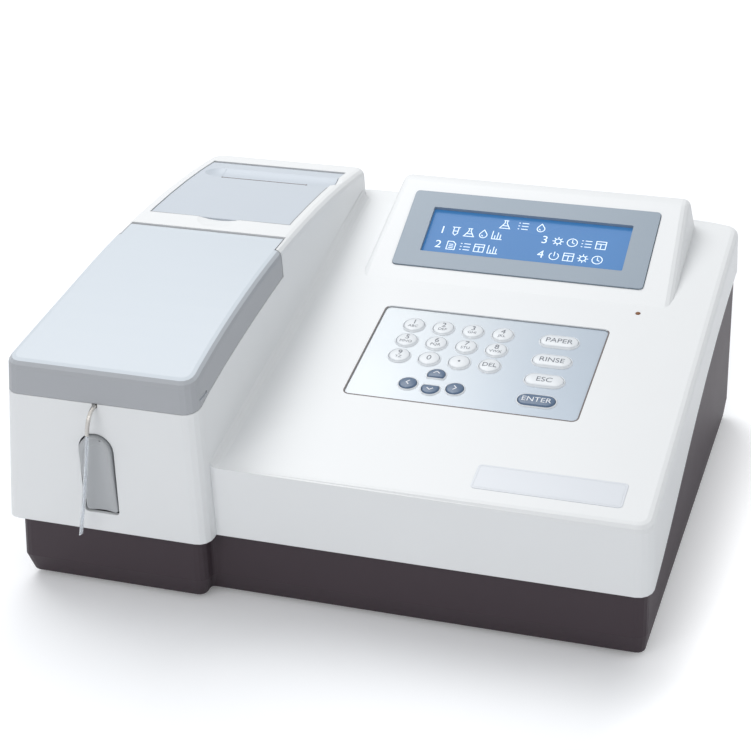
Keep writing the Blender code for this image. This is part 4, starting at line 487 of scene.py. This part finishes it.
def flat_sided(width, height, inset, up, steps=26):
    """A circle of that width cut flat below, in a box of that height, centred on the box."""
    radius = width / 2
    drop = height - radius
    centre = height / 2 - radius
    chord = min(drop - inset, radius - inset)
    low = math.asin(-chord / (radius - inset))
    plan = []
    for k in range(steps + 1):
        angle = low + (math.pi - 2 * low) * k / steps
        plan.append(((radius - inset) * math.cos(angle),
                     centre + (radius - inset) * math.sin(angle)))
    return plan if up else [(-x, -y) for x, y in plan]


def key_plan(name, inset):
    low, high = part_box(name)
    width = high.x - low.x
    if name in PILLS:
        return stadium(width, PILL_WIDTH, inset)
    if name in ("key_up", "key_down"):
        return flat_sided(width, FLAT_KEY_HEIGHT, inset, name == "key_up")
    return stadium(width, width, inset)


# %% Key caps
SHOULDER = 1.3 * MM
SHOULDER_STEPS = 5
PILLOW = 0.32 * MM
PILLOW_STEPS = 4
PILLOW_PITCH = 0.70 * MM
SLATE_INSET = 0.40 * MM


def key_cap(name):
    slate = name in SLATE_KEYS
    finish, slot = (key_slate, "key_slate") if slate else (key_white, "key_white")
    profile = [(0.0, -KEY_HEIGHT), (0.0, -SHOULDER)]
    for k in range(1, SHOULDER_STEPS + 1):
        turn = math.pi / 2 * k / SHOULDER_STEPS
        profile.append((SHOULDER * (1 - math.cos(turn)),
                        -SHOULDER + (SHOULDER - PILLOW) * math.sin(turn)))
    for k in range(1, PILLOW_STEPS + 1):
        turn = math.pi / 2 * k / PILLOW_STEPS
        profile.append((SHOULDER + PILLOW_PITCH * k, -PILLOW + PILLOW * math.sin(turn)))
    spare = SLATE_INSET if slate else 0.0
    rings = [(key_plan(name, inset + spare), height) for inset, height in profile]
    verts, faces = layered(rings, key_plane(name))
    cap = piece(f"cap_{name[4:]}", verts, faces, finish, f"{name}_body", smooth=40)
    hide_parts(name)


key_names = [name for name in frame["nodes"] if name.startswith("key_") and name != "key_board"]
for name in key_names:
    key_cap(name)
print("caps", len(key_names))

# %% [markdown]
# ## Collars round the keys
# Every key comes up through a pale collar that is part of the film: a steep inner wall, a rounded
# rim and a long slope down to the film, so that a finger finds the key. It is the key's plan moved
# out step by step, at the heights of that profile. It stays still when the key goes down.

# %% Collars
KEY_OVER_FILM = 2.2 * MM
COLLAR_GAP = 0.22
SLATE_COLLAR_GAP = -0.15
COLLAR_PROFILE = ((0.0, -0.04), (0.0, 1.15), (0.08, 1.32), (0.25, 1.40), (0.42, 1.34),
                  (0.72, 0.95), (0.98, 0.42), (1.12, 0.10), (1.18, -0.04))


def collar(name):
    """Gap and profile are in millimetres, measured outwards from the key's own plan."""
    gap = SLATE_COLLAR_GAP if name in SLATE_KEYS else COLLAR_GAP
    plane = key_plane(name) @ Matrix.Translation((0, 0, -KEY_OVER_FILM))
    rings = [(key_plan(name, -(gap + out) * MM), height * MM) for out, height in COLLAR_PROFILE]
    count = len(rings[0][0])
    verts = [plane @ Vector((x, y, height)) for plan, height in rings for x, y in plan]
    faces = []
    for ring in range(len(rings)):
        low, high = ring * count, (ring + 1) % len(rings) * count
        for k in range(count):
            after = (k + 1) % count
            faces.append((low + after, low + k, high + k, high + after))
    piece(f"collar_{name[4:]}", verts, faces, key_white, "root", smooth=50)


for name in key_names:
    collar(name)
print("collars", len(key_names))

# %% [markdown]
# ## Legends
# Figures, the letters that share a key with them and the plain words on the long keys are set as
# text and turned into thin ink, a few hundredths of a millimetre proud of the cap. The arrowheads
# are strokes. A stroke is a ribbon of even width along a chain of points.

# %% Ribbons and figures
INK = 0.04 * MM
SHARPEST_MITRE = 0.35


def ribbon(points, width, closed=False):
    """The left and right edges of a stroke along a chain of points, mitred at its corners."""
    chain = [Vector(p) for p in points]
    left, right = [], []
    for k, here in enumerate(chain):
        before = chain[k - 1] if (k > 0 or closed) else here
        after = chain[(k + 1) % len(chain)] if (k < len(chain) - 1 or closed) else here
        first = (here - before).normalized() if before != here else (after - here).normalized()
        second = (after - here).normalized() if after != here else first
        across = Vector((-first.y - second.y, first.x + second.x)).normalized()
        reach = width / 2 / max(across.dot(Vector((-first.y, first.x))), SHARPEST_MITRE)
        left.append(here + across * reach)
        right.append(here - across * reach)
    return left, right


def add_ribbon(verts, faces, points, width, plane, closed=False):
    left, right = ribbon(points, width, closed)
    count = len(left)
    for k in range(count if closed else count - 1):
        after = (k + 1) % count
        add_prism(verts, faces, [right[k], right[after], left[after], left[k]], 0.0, INK, plane)


def figure(text, size):
    data = bpy.data.curves.new("figure", "FONT")
    data.body = text
    data.size = size
    data.align_x = "CENTER"
    data.align_y = "CENTER"
    data.extrude = INK / 2
    obj = bpy.data.objects.new("figure", data)
    bpy.context.scene.collection.objects.link(obj)
    graph = bpy.context.evaluated_depsgraph_get()
    mesh = bpy.data.meshes.new_from_object(obj.evaluated_get(graph))
    bpy.data.objects.remove(obj, do_unlink=True)
    return mesh


def add_figure(verts, faces, text, size, x, y, plane):
    mesh = figure(text, size)
    start = len(verts)
    verts.extend(plane @ (v.co + Vector((x, y, INK / 2))) for v in mesh.vertices)
    faces.extend(tuple(start + i for i in p.vertices) for p in mesh.polygons)
    bpy.data.meshes.remove(mesh)


print("ribbons and figures can be drawn")

# %% Arrowheads and words
STROKE = 0.62 * MM


def arc(x, y, radius, first, last, steps=10):
    return [(x + radius * math.cos(math.radians(first + (last - first) * k / steps)),
             y + radius * math.sin(math.radians(first + (last - first) * k / steps)))
            for k in range(steps + 1)]


def turned(points, degrees):
    c, s = math.cos(math.radians(degrees)), math.sin(math.radians(degrees))
    return [(x * c - y * s, x * s + y * c) for x, y in points]


CHEVRON = [(-3.2 * STROKE, -1.3 * STROKE), (0, 1.6 * STROKE), (3.2 * STROKE, -1.3 * STROKE)]
ARROWHEADS = {"key_up": CHEVRON, "key_down": turned(CHEVRON, 180),
              "key_left": turned(CHEVRON, 90), "key_right": turned(CHEVRON, -90)}
WORD_SIZE = 6.1 * MM
WORD_LOW = -0.3 * MM
WORDS = {"key_paper": ("PAPER", WORD_SIZE), "key_rinse": ("RINSE", WORD_SIZE),
         "key_escape": ("ESC", WORD_SIZE), "key_enter": ("ENTER", WORD_SIZE),
         "key_delete": ("DEL", 5.2 * MM), "key_0": ("0", 6.4 * MM)}
LETTERS = dict(zip("123456789", ("ABC", "DEF", "GHI", "JKL", "MNO", "PQR", "STU", "VWX", "YZ")))
FIGURE_SIZE, FIGURE_UP = 6.0 * MM, 1.9 * MM
LETTER_SIZE, LETTER_LOW = 3.3 * MM, -2.3 * MM
POINT_SIZE = 1.6 * MM


def legend(name):
    plane = key_plane(name)
    slate = name in SLATE_KEYS
    ink, slot = (legend_white, "key_white") if slate else (legend_grey, "key_slate")
    verts, faces = [], []
    if name in ARROWHEADS:
        add_ribbon(verts, faces, ARROWHEADS[name], STROKE, plane)
    elif name == "key_point":
        add_prism(verts, faces, stadium(POINT_SIZE, POINT_SIZE, 0), 0.0, INK, plane)
    elif name in WORDS:
        text, size = WORDS[name]
        add_figure(verts, faces, text, size, 0, WORD_LOW, plane)
    else:
        add_figure(verts, faces, name[4:], FIGURE_SIZE, 0, FIGURE_UP, plane)
        add_figure(verts, faces, LETTERS[name[4:]], LETTER_SIZE, 0, LETTER_LOW, plane)
    piece(f"legend_{name[4:]}", verts, faces, ink, f"{name}_body")


for name in key_names:
    legend(name)
print("legends", len(key_names))

# %% [markdown]
# ## The seam round the film
# A thin strip lies on the joint between film and case: a fine dark line of painted shade on three sides
# and a paler line, a painted highlight, along the top, level with the case. Each is a stroke along the film's
# edge.

# %% Seam
FILM_SIZE = (142.4 * MM, 91.7 * MM)
FILM_THICKNESS = 1.4 * MM
FILM_SINK = 0.6 * MM
FILM_CORNER = 3.6 * MM
SEAM_WIDTH = 0.9 * MM
SEAM_OUT = 0.3 * MM
TOP_RIGHT, TOP_LEFT = 10, 17  # points of the plan in the middle of its two upper corners

film_plane = (plane_at(middle("keypad_overlay"), top_tilt)
              @ Matrix.Translation((0, 0, FILM_THICKNESS / 2 + FILM_SINK)))


def rounded_plan(width, height, radius, steps=6):
    plan = []
    for corner, (sx, sy) in enumerate(((1, -1), (1, 1), (-1, 1), (-1, -1))):
        for k in range(steps + 1):
            angle = math.pi / 2 * (corner - 1 + k / steps)
            plan.append((sx * (width / 2 - radius) + radius * math.cos(angle),
                         sy * (height / 2 - radius) + radius * math.sin(angle)))
    return plan


def seam(name, points, finish):
    verts, faces = [], []
    add_ribbon(verts, faces, points, SEAM_WIDTH, film_plane)
    piece(name, verts, faces, finish, "root")


edge = rounded_plan(FILM_SIZE[0] + 2 * SEAM_OUT, FILM_SIZE[1] + 2 * SEAM_OUT,
                    FILM_CORNER + SEAM_OUT)
# painted shade on three sides and a painted highlight along the top
seam("seam_sides", edge[TOP_LEFT:] + edge[:TOP_RIGHT + 1], seam_painted_shade)
seam("seam_top", edge[TOP_RIGHT:TOP_LEFT + 1], seam_painted_highlight)
print("seam points", len(edge))

# %% [markdown]
# ## The picture on the display
# A menu of four numbered lines fills the blue panel under a short heading. Each line is a figure
# and four little signs from a laboratory, such as a test tube, a flask, a drop, a chart or a page,
# which read the same in every language. They are strokes on a ten by ten grid, drawn with the
# same ribbons as the arrowheads.

# %% Laboratory signs
GRID = 10


def spoke(inner, outer, degrees):
    return [(GRID / 2 + r * math.cos(math.radians(degrees)),
             GRID / 2 + r * math.sin(math.radians(degrees))) for r in (inner, outer)]


# Each sign is a pair: its open strokes and its closed ones.
MENU_SIGNS = {
    "tube": ([[(1.5, 9.6), (8.5, 9.6)], [(3, 9.6), (3, 2.6), (5, 0.4), (7, 2.6), (7, 9.6)],
              [(3, 5.2), (7, 5.2)]], []),
    "flask": ([[(3, 9.6), (7, 9.6)],
               [(4, 9.6), (4, 6.4), (0.6, 0.6), (9.4, 0.6), (6, 6.4), (6, 9.6)],
               [(2.4, 3.6), (7.6, 3.6)]], []),
    "chart": ([[(0.6, 9.6), (0.6, 0.5), (9.6, 0.5)], [(3, 0.5), (3, 4.6)], [(5.4, 0.5), (5.4, 8.4)],
               [(7.8, 0.5), (7.8, 6.2)]], []),
    "page": ([[(3, 6.4), (6.6, 6.4)], [(3, 4.4), (7, 4.4)], [(3, 2.4), (7, 2.4)]],
             [[(1.4, 0.5), (8.6, 0.5), (8.6, 7.2), (6.2, 9.6), (1.4, 9.6)]]),
    "wheel": ([spoke(2.6, 4.8, degrees) for degrees in range(0, 360, 45)],
              [arc(5, 5, 2.6, 0, 330, 11)]),
    "clock": ([[(5, 8), (5, 5), (7.2, 3.8)]], [arc(5, 5, 4.4, 0, 330, 11)]),
    "rows": ([[(left, y), (right, y)] for left, right in ((0.6, 2.0), (3.6, 9.4))
              for y in (1.6, 5.0, 8.4)], []),
    "drop": ([[(3.4, 3.6), (5, 2.4)]], [[(5, 9.6)] + arc(5, 3.9, 3.3, 150, 390, 12)]),
    "power": ([arc(5, 4.6, 4.0, 125, 415, 12), [(5, 9.6), (5, 4.6)]], []),
    "box": ([[(0.8, 6.4), (9.2, 6.4)], [(5, 6.4), (5, 0.8)]],
            [[(0.8, 0.8), (9.2, 0.8), (9.2, 9.2), (0.8, 9.2)]]),
}
SIGN_SIZE = 7.6 * MM


def add_sign(verts, faces, sign, x, y):
    unit = SIGN_SIZE / GRID
    for closed, strokes in enumerate(MENU_SIGNS[sign]):
        for stroke in strokes:
            points = [(x + (a - GRID / 2) * unit, y + (b - GRID / 2) * unit) for a, b in stroke]
            add_ribbon(verts, faces, points, STROKE, display_plane, bool(closed))


# %% Menu
HEADING = ("flask", "rows", "drop")
HEADING_START, HEADING_PITCH, HEADING_UP = -16.8 * MM, 11.9 * MM, 12.2 * MM
NUMBER_SIZE = 9.0 * MM
SIGNS_START, SIGN_PITCH = 8.8 * MM, 9.4 * MM
LEFT_COLUMN, RIGHT_COLUMN = -57.0 * MM, 11.5 * MM
UPPER_ROW, LOWER_ROW = 2.2 * MM, -10.4 * MM
MENU = (("1", LEFT_COLUMN, UPPER_ROW, ("tube", "flask", "drop", "chart")),
        ("2", LEFT_COLUMN, LOWER_ROW, ("page", "rows", "box", "chart")),
        ("3", RIGHT_COLUMN, UPPER_ROW, ("wheel", "clock", "rows", "box")),
        ("4", RIGHT_COLUMN, LOWER_ROW, ("power", "box", "wheel", "clock")))

verts, faces = [], []
for place, sign in enumerate(HEADING):
    add_sign(verts, faces, sign, HEADING_START + HEADING_PITCH * place, HEADING_UP)
for number, x, y, signs in MENU:
    add_figure(verts, faces, number, NUMBER_SIZE, x, y, display_plane)
    for place, sign in enumerate(signs):
        add_sign(verts, faces, sign, x + SIGNS_START + SIGN_PITCH * place, y)
piece("menu_signs", verts, faces, screen_dot, "root")
print("signs on the display", len(HEADING) + sum(len(line[3]) for line in MENU))

# %% [markdown]
# ## The bare plate
# A bare plate lies near the front of the sloping top: a thin glossy film with rounded corners, a
# quarter of a millimetre thick, with a fine pressed line just inside its edge. It lies on the
# case, so its plane is the sloping top itself. Its size and profile are in millimetres.

# %% Plate
TOP_FRONT = Vector((0, -0.14147, 0.0922))
PLATE_SIZE = (86, 21)
PLATE_CORNER = 2.6
PLATE_PLACE = (0.12974, -0.11797)
PLATE_TOP = 0.25
PRESSED = PLATE_TOP - 0.08
PLATE_PROFILE = ((0.0, -0.05), (0.0, 0.15), (0.1, PLATE_TOP), (1.1, PLATE_TOP), (1.2, PRESSED),
                 (1.4, PRESSED), (1.5, PLATE_TOP))


def top_place(x, y):
    """The point of the sloping top above a point of the plan."""
    return Vector((x, y, TOP_FRONT.z + math.tan(top_tilt) * (y - TOP_FRONT.y)))


rings = [(rounded_plan((PLATE_SIZE[0] - 2 * inset) * MM, (PLATE_SIZE[1] - 2 * inset) * MM,
                       (PLATE_CORNER - inset) * MM), height * MM)
         for inset, height in PLATE_PROFILE]
verts, faces = layered(rings, plane_at(top_place(*PLATE_PLACE), top_tilt))
piece("bare_plate", verts, faces, plate_pale, "root", smooth=30)
print("plate at height", round(top_place(*PLATE_PLACE).z, 4))

# %% [markdown]
# ## Joint lines and slit of the printer cover
# The cover lies half a millimetre below its frame. A mid-grey strip of painted shade marks the joint at its front
# and right, and a brown line of painted shade with rounded ends marks the paper slit along the front of the paper
# trough. Each strip is laid on the surface below it, whose height a ray from above finds.

# %% Strips on a surface
STRIP_LIFT = 0.03 * MM


def height_at(node, x, y):
    hit, place, _, _ = frame["nodes"][node].ray_cast(Vector((x, y, 1.0)), Vector((0, 0, -1)))
    return place.z if hit else None


def strip(name, node, points, width, finish, body, probe=(0, 0)):
    """A thin strip along plan points, lying on a node; probe moves the point that is measured."""
    verts, faces = [], []
    left, right = ribbon(points, width)
    heights = [height_at(node, x + probe[0], y + probe[1]) + STRIP_LIFT for x, y in points]
    for row, high in ((left, 0), (right, 0), (right, 1), (left, 1)):
        verts.extend(Vector((v.x, v.y, z + high * INK)) for v, z in zip(row, heights))
    count = len(points)
    for k in range(count - 1):
        for side in range(4):
            low, after = side * count, (side + 1) % 4 * count
            faces.append((low + k, low + k + 1, after + k + 1, after + k))
    faces.append((0, count, 2 * count, 3 * count))
    faces.append((4 * count - 1, 3 * count - 1, 2 * count - 1, count - 1))
    piece(name, verts, faces, finish, body)


print("strips can be laid")

# %% Joint lines and slit
JOINT = 0.5 * MM
COVER_FRONT = 0.0305
COVER_SIDE = -0.0738
JOINT_STEPS, JOINT_PITCH = 17, 4.5 * MM
TONGUE_SPAN = (-0.1345, -0.1080)
PROBE = 1.2 * MM
SLIT_HALF = 30 * MM
SLIT_LINE = 0.1047
SLIT_EDGE = 0.75 * MM
SLIT_END = 1.5 * MM

cover_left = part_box("printer_cover")[0].x + 2.5 * MM
# The joint strips are painted shade where the cover's joint lies in shadow.
side_line = [(COVER_SIDE + JOINT / 2, COVER_FRONT + JOINT_PITCH * k) for k in range(JOINT_STEPS)]
strip("joint_right", "upper_case", side_line, JOINT, joint_painted_shade, "root",
      probe=(PROBE, 0))
for name, start, end in (("joint_front_left", cover_left, TONGUE_SPAN[0]),
                         ("joint_front_right", TONGUE_SPAN[1], COVER_SIDE)):
    front_line = [(x, COVER_FRONT - JOINT / 2) for x in (start, end)]
    strip(name, "upper_case", front_line, JOINT, joint_painted_shade, "root",
          probe=(0, -PROBE))

slit_middle = middle("printer_cover").x + 2.0 * MM
# painted shade: a brown line with round ends where the paper slit lies dark
slit_line = [(slit_middle - SLIT_HALF, SLIT_LINE), (slit_middle + SLIT_HALF, SLIT_LINE)]
strip("slit_edge", "printer_cover", slit_line, SLIT_EDGE, slit_painted_shade, "cover")
verts, faces = [], []
for x, y in slit_line:
    plane = Matrix.Translation((x, y, height_at("printer_cover", x, y) + STRIP_LIFT))
    add_prism(verts, faces, stadium(SLIT_END, SLIT_END, 0), 0.0, 1.5 * INK, plane)
piece("slit_ends", verts, faces, slit_painted_shade, "cover")
print("slit at height", round(height_at("printer_cover", slit_middle, SLIT_LINE), 4))

# %% [markdown]
# ## Fixings at the back
# Four pan-head screws hold the fan, two hexagon posts flank the serial port, and the rocker carries
# the usual line and ring for on and off. A screw is a domed head with a cross pressed into it.

# %% Places on the back
def back_plane(node, x, z):
    """A plane on the surface that a ray from behind meets: x to the viewer's right, y up."""
    hit, place, normal, _ = frame["nodes"][node].ray_cast(Vector((x, 1.0, z)), Vector((0, -1, 0)))
    side = Vector((-1, 0, 0))
    up = normal.cross(side).normalized()
    turn = Matrix((side, up, normal)).transposed().to_4x4()
    return Matrix.Translation(place) @ turn


def ring_of(radius, count=24):
    return [(radius * math.cos(math.tau * k / count), radius * math.sin(math.tau * k / count))
            for k in range(count)]


def cross_plan(reach, half):
    corner = [(reach, -half), (reach, half), (half, half)]
    return [(x * math.cos(math.pi / 2 * q) - y * math.sin(math.pi / 2 * q),
             x * math.sin(math.pi / 2 * q) + y * math.cos(math.pi / 2 * q))
            for q in range(4) for x, y in corner]


print("back planes ready")

# %% Screws, posts and marks
FAN_MIDDLE = (0.03724, 0.058)
FAN_PITCH = 25 * MM
PORT_MIDDLE = (-0.05276, 0.045)
POST_PITCH = 12.5 * MM
SWITCH_MIDDLE = (0.14224, 0.072)
MARK_PITCH = 4.4 * MM
# Radius and height of each ring, in millimetres.
SCREW_PROFILE = ((2.9, 0.0), (2.9, 0.55), (2.6, 1.15), (2.0, 1.55), (1.2, 1.75))
POST_PROFILE = ((2.7, 0.0), (2.7, 2.6), (2.4, 2.9), (1.2, 2.9), (1.1, 1.2))


def from_profile(name, profile, sides, plane, smooth=None):
    rings = [(ring_of(radius * MM, sides), height * MM) for radius, height in profile]
    verts, faces = layered(rings, plane)
    piece(name, verts, faces, plate_steel, "root", smooth=smooth)


for number, (sx, sz) in enumerate(((1, 1), (-1, 1), (-1, -1), (1, -1)), 1):
    plane = back_plane("lower_case", FAN_MIDDLE[0] + sx * FAN_PITCH,
                       FAN_MIDDLE[1] + sz * FAN_PITCH)
    from_profile(f"fan_screw_{number}", SCREW_PROFILE, 24, plane, smooth=40)
    verts, faces = [], []
    add_prism(verts, faces, cross_plan(1.5 * MM, 0.32 * MM), 1.60 * MM, 1.80 * MM, plane)
    piece(f"fan_screw_cross_{number}", verts, faces, black_plastic, "root")
for number, side in ((1, -1), (2, 1)):
    plane = back_plane("serial_port", PORT_MIDDLE[0] + side * POST_PITCH, PORT_MIDDLE[1])
    from_profile(f"port_post_{number}", POST_PROFILE, 6, plane)

on_plane, off_plane = (back_plane("power_rocker", SWITCH_MIDDLE[0], SWITCH_MIDDLE[1] + offset)
                       for offset in (MARK_PITCH, -MARK_PITCH))
verts, faces = [], []
add_ribbon(verts, faces, [(0, -1.6 * MM), (0, 1.6 * MM)], 0.5 * MM, on_plane)
add_ribbon(verts, faces, ring_of(1.5 * MM), 0.45 * MM, off_plane, closed=True)
piece("rocker_marks", verts, faces, legend_white, "rocker")
print("fixings at the back made")

# %% [markdown]
# ## The aspiration tube
# A length of clear tubing hangs from the bent steel needle. It hangs free, and the script prints its
# length along the path. It is swept along a smooth curve through a few chosen points, with
# its fine bore, and its lower end is cut at a slant.

# %% Smooth path and swept tube
CURVE_STEPS = 20


def smooth_path(points, spacing):
    """Points about one spacing apart on a Catmull-Rom curve through the given ones."""
    nodes = [Vector(p) for p in points]
    nodes = [nodes[0] * 2 - nodes[1]] + nodes + [nodes[-1] * 2 - nodes[-2]]
    dense = []
    for k in range(1, len(nodes) - 2):
        p0, p1, p2, p3 = nodes[k - 1:k + 3]
        for step in range(CURVE_STEPS):
            t = step / CURVE_STEPS
            dense.append(0.5 * (p1 * 2 + (p2 - p0) * t + (p0 * 2 - p1 * 5 + p2 * 4 - p3) * t * t
                                + (p1 * 3 - p0 - p2 * 3 + p3) * t ** 3))
    dense.append(nodes[-2])
    path = [dense[0]]
    for p in dense[1:-1]:
        if (p - path[-1]).length >= spacing and (p - dense[-1]).length >= spacing / 2:
            path.append(p)
    path.append(dense[-1])
    return path


def swept(path, outer, bore, slant, sides=20):
    """A hollow tube along a path, with its far end cut at a slant."""
    verts, faces = [], []
    side = Vector((1, 0, 0))
    for k, here in enumerate(path):
        ahead = (path[min(k + 1, len(path) - 1)] - path[max(k - 1, 0)]).normalized()
        side = (side - ahead * side.dot(ahead)).normalized()
        up = ahead.cross(side)
        for radius in (outer, bore):
            for j in range(sides):
                angle = math.tau * j / sides
                out = (side * math.cos(angle) + up * math.sin(angle)) * radius
                lean = -radius * math.cos(angle) * slant if k == len(path) - 1 else 0.0
                verts.append(here + out + ahead * lean)
    step = 2 * sides
    for k in range(len(path) - 1):
        for inside in (False, True):
            for j in range(sides):
                start = k * step + inside * sides
                a, b = start + j, start + (j + 1) % sides
                face = (a, b, b + step, a + step)
                faces.append(tuple(reversed(face)) if inside else face)
    for start, flip in ((0, True), ((len(path) - 1) * step, False)):
        for j in range(sides):
            a, b = start + j, start + (j + 1) % sides
            face = (a, b, b + sides, a + sides)
            faces.append(tuple(reversed(face)) if flip else face)
    return verts, faces


# %% Aspiration tube
TUBE_ROUTE = [(-0.12946, -0.16177, 0.11455), (-0.13106, -0.16267, 0.10037),
              (-0.13416, -0.16377, 0.07776), (-0.13756, -0.16457, 0.05781),
              (-0.13916, -0.16487, 0.04890)]
TUBE_RADIUS = 1.12 * MM
TUBE_BORE = 0.55 * MM
TUBE_SLANT = 0.9

tube_path = smooth_path(TUBE_ROUTE, 2.0 * MM)
tube_length = sum((b - a).length for a, b in zip(tube_path, tube_path[1:]))
verts, faces = swept(tube_path, TUBE_RADIUS, TUBE_BORE, TUBE_SLANT)
tube = piece("aspiration_tubing", verts, faces, clear_tube, "root", smooth=40)
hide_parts("aspiration_tube")
print("tubing is", round(tube_length * 1000, 1), "mm long")

# %% [markdown]
# ## Floor and light
# The floor is a plain pale sheet that runs past the frame on every side. For the camera alone it
# also glows a little, more beyond the right of the machine and far away, so that it fades into
# the white background there.

# %% Floor
FLOOR_REACH = 4.0
GLOW, GLOW_NEAR = 0.8, 0.14
RIGHT_FADE = (0.17, 0.27)
FAR_FADE = (0.45, 1.0)


def floor_finish():
    finish = Finish("floor")
    seen = finish.add("ShaderNodeLightPath", out="Is Camera Ray")
    drift = finish.noise(1.2, 2.0)
    place = finish.add("ShaderNodeTexCoord", out="Object")
    away = finish.add("ShaderNodeVectorMath", {"operation": "LENGTH"}, {0: place}, out="Value")
    right = finish.smooth_range(finish.coordinate("X", place), *RIGHT_FADE)
    far = finish.smooth_range(away, *FAR_FADE)
    tint = finish.blend(drift, (0.925, 0.935, 0.955, 1), (0.935, 0.945, 0.965, 1))
    finish.set(Base_Color=tint, Roughness=0.85)
    strength = seen * ((right + far) * GLOW + GLOW_NEAR)
    lift = finish.add("ShaderNodeEmission", {}, {"Color": (1, 1, 1, 1), "Strength": strength})
    both = finish.add("ShaderNodeAddShader", {},
                      {0: Flow(finish, finish.shader.outputs[0]), 1: lift})
    finish.tree.links.new(both.socket, finish.tree.nodes["Material Output"].inputs["Surface"])
    return finish


mesh = bpy.data.meshes.new("floor")
corners = [(x * FLOOR_REACH, y * FLOOR_REACH, 0) for x, y in ((-1, -1), (1, -1), (1, 1), (-1, 1))]
mesh.from_pydata(corners, [], [(0, 1, 2, 3)])
mesh.materials.append(floor_finish().material)
floor = bpy.data.objects.new("floor", mesh)
bpy.context.scene.collection.objects.link(floor)
print("floor laid")


# %% [markdown]
# The room light is an even, faintly blue sky. Camera, mirror and see-through rays meet a plain
# white one instead, so gloss and clear parts show the background that the eye sees. A big soft
# lamp above and behind the machine throws the shadow towards the viewer, and two weaker ones
# fill the front and the right side.

# %% Sky
SKY_LEVEL = 0.48

world = bpy.data.worlds.new("sky")
bpy.context.scene.world = world
world.use_nodes = True
sky_nodes, sky_links = world.node_tree.nodes, world.node_tree.links


def backdrop(node, colour, strength):
    node.inputs["Color"].default_value = colour
    node.inputs["Strength"].default_value = strength
    return node.outputs[0]


def added(first, second):
    node = sky_nodes.new("ShaderNodeMath")
    node.operation = "ADD"
    node.use_clamp = True
    sky_links.new(first, node.inputs[0])
    sky_links.new(second, node.inputs[1])
    return node.outputs[0]


rays = sky_nodes.new("ShaderNodeLightPath").outputs
seen_or_mirrored = added(rays["Is Camera Ray"], rays["Is Glossy Ray"])
choice = sky_nodes.new("ShaderNodeMixShader")
sky_links.new(added(seen_or_mirrored, rays["Is Transmission Ray"]), choice.inputs[0])
sky_links.new(backdrop(sky_nodes["Background"], (0.96, 0.98, 1.0, 1), SKY_LEVEL), choice.inputs[1])
sky_links.new(backdrop(sky_nodes.new("ShaderNodeBackground"), (1, 1, 1, 1), 1.0), choice.inputs[2])
sky_links.new(choice.outputs[0], sky_nodes["World Output"].inputs["Surface"])
print("sky set")


# %% Lamps
AIM = Vector((0, 0, 0.1))


def lamp(name, place, size, power, colour=(1.0, 1.0, 1.0)):
    data = bpy.data.lights.new(name, "AREA")
    data.shape = "RECTANGLE"
    data.size, data.size_y = size
    data.energy = power
    data.color = colour
    obj = bpy.data.objects.new(name, data)
    bpy.context.scene.collection.objects.link(obj)
    obj.location = place
    obj.rotation_euler = (AIM - Vector(place)).to_track_quat("-Z", "Y").to_euler()


lamp("key_light", (-0.62, 0.55, 1.55), (1.2, 1.0), 16.2)
lamp("front_fill", (-0.6, -1.9, 1.1), (1.4, 1.2), 10.5, (1.0, 0.995, 1.0))
lamp("side_fill", (1.5, 0.1, 0.8), (1.0, 0.8), 3.0)
bpy.context.scene.view_settings.view_transform = "Standard"
print("lamps set")
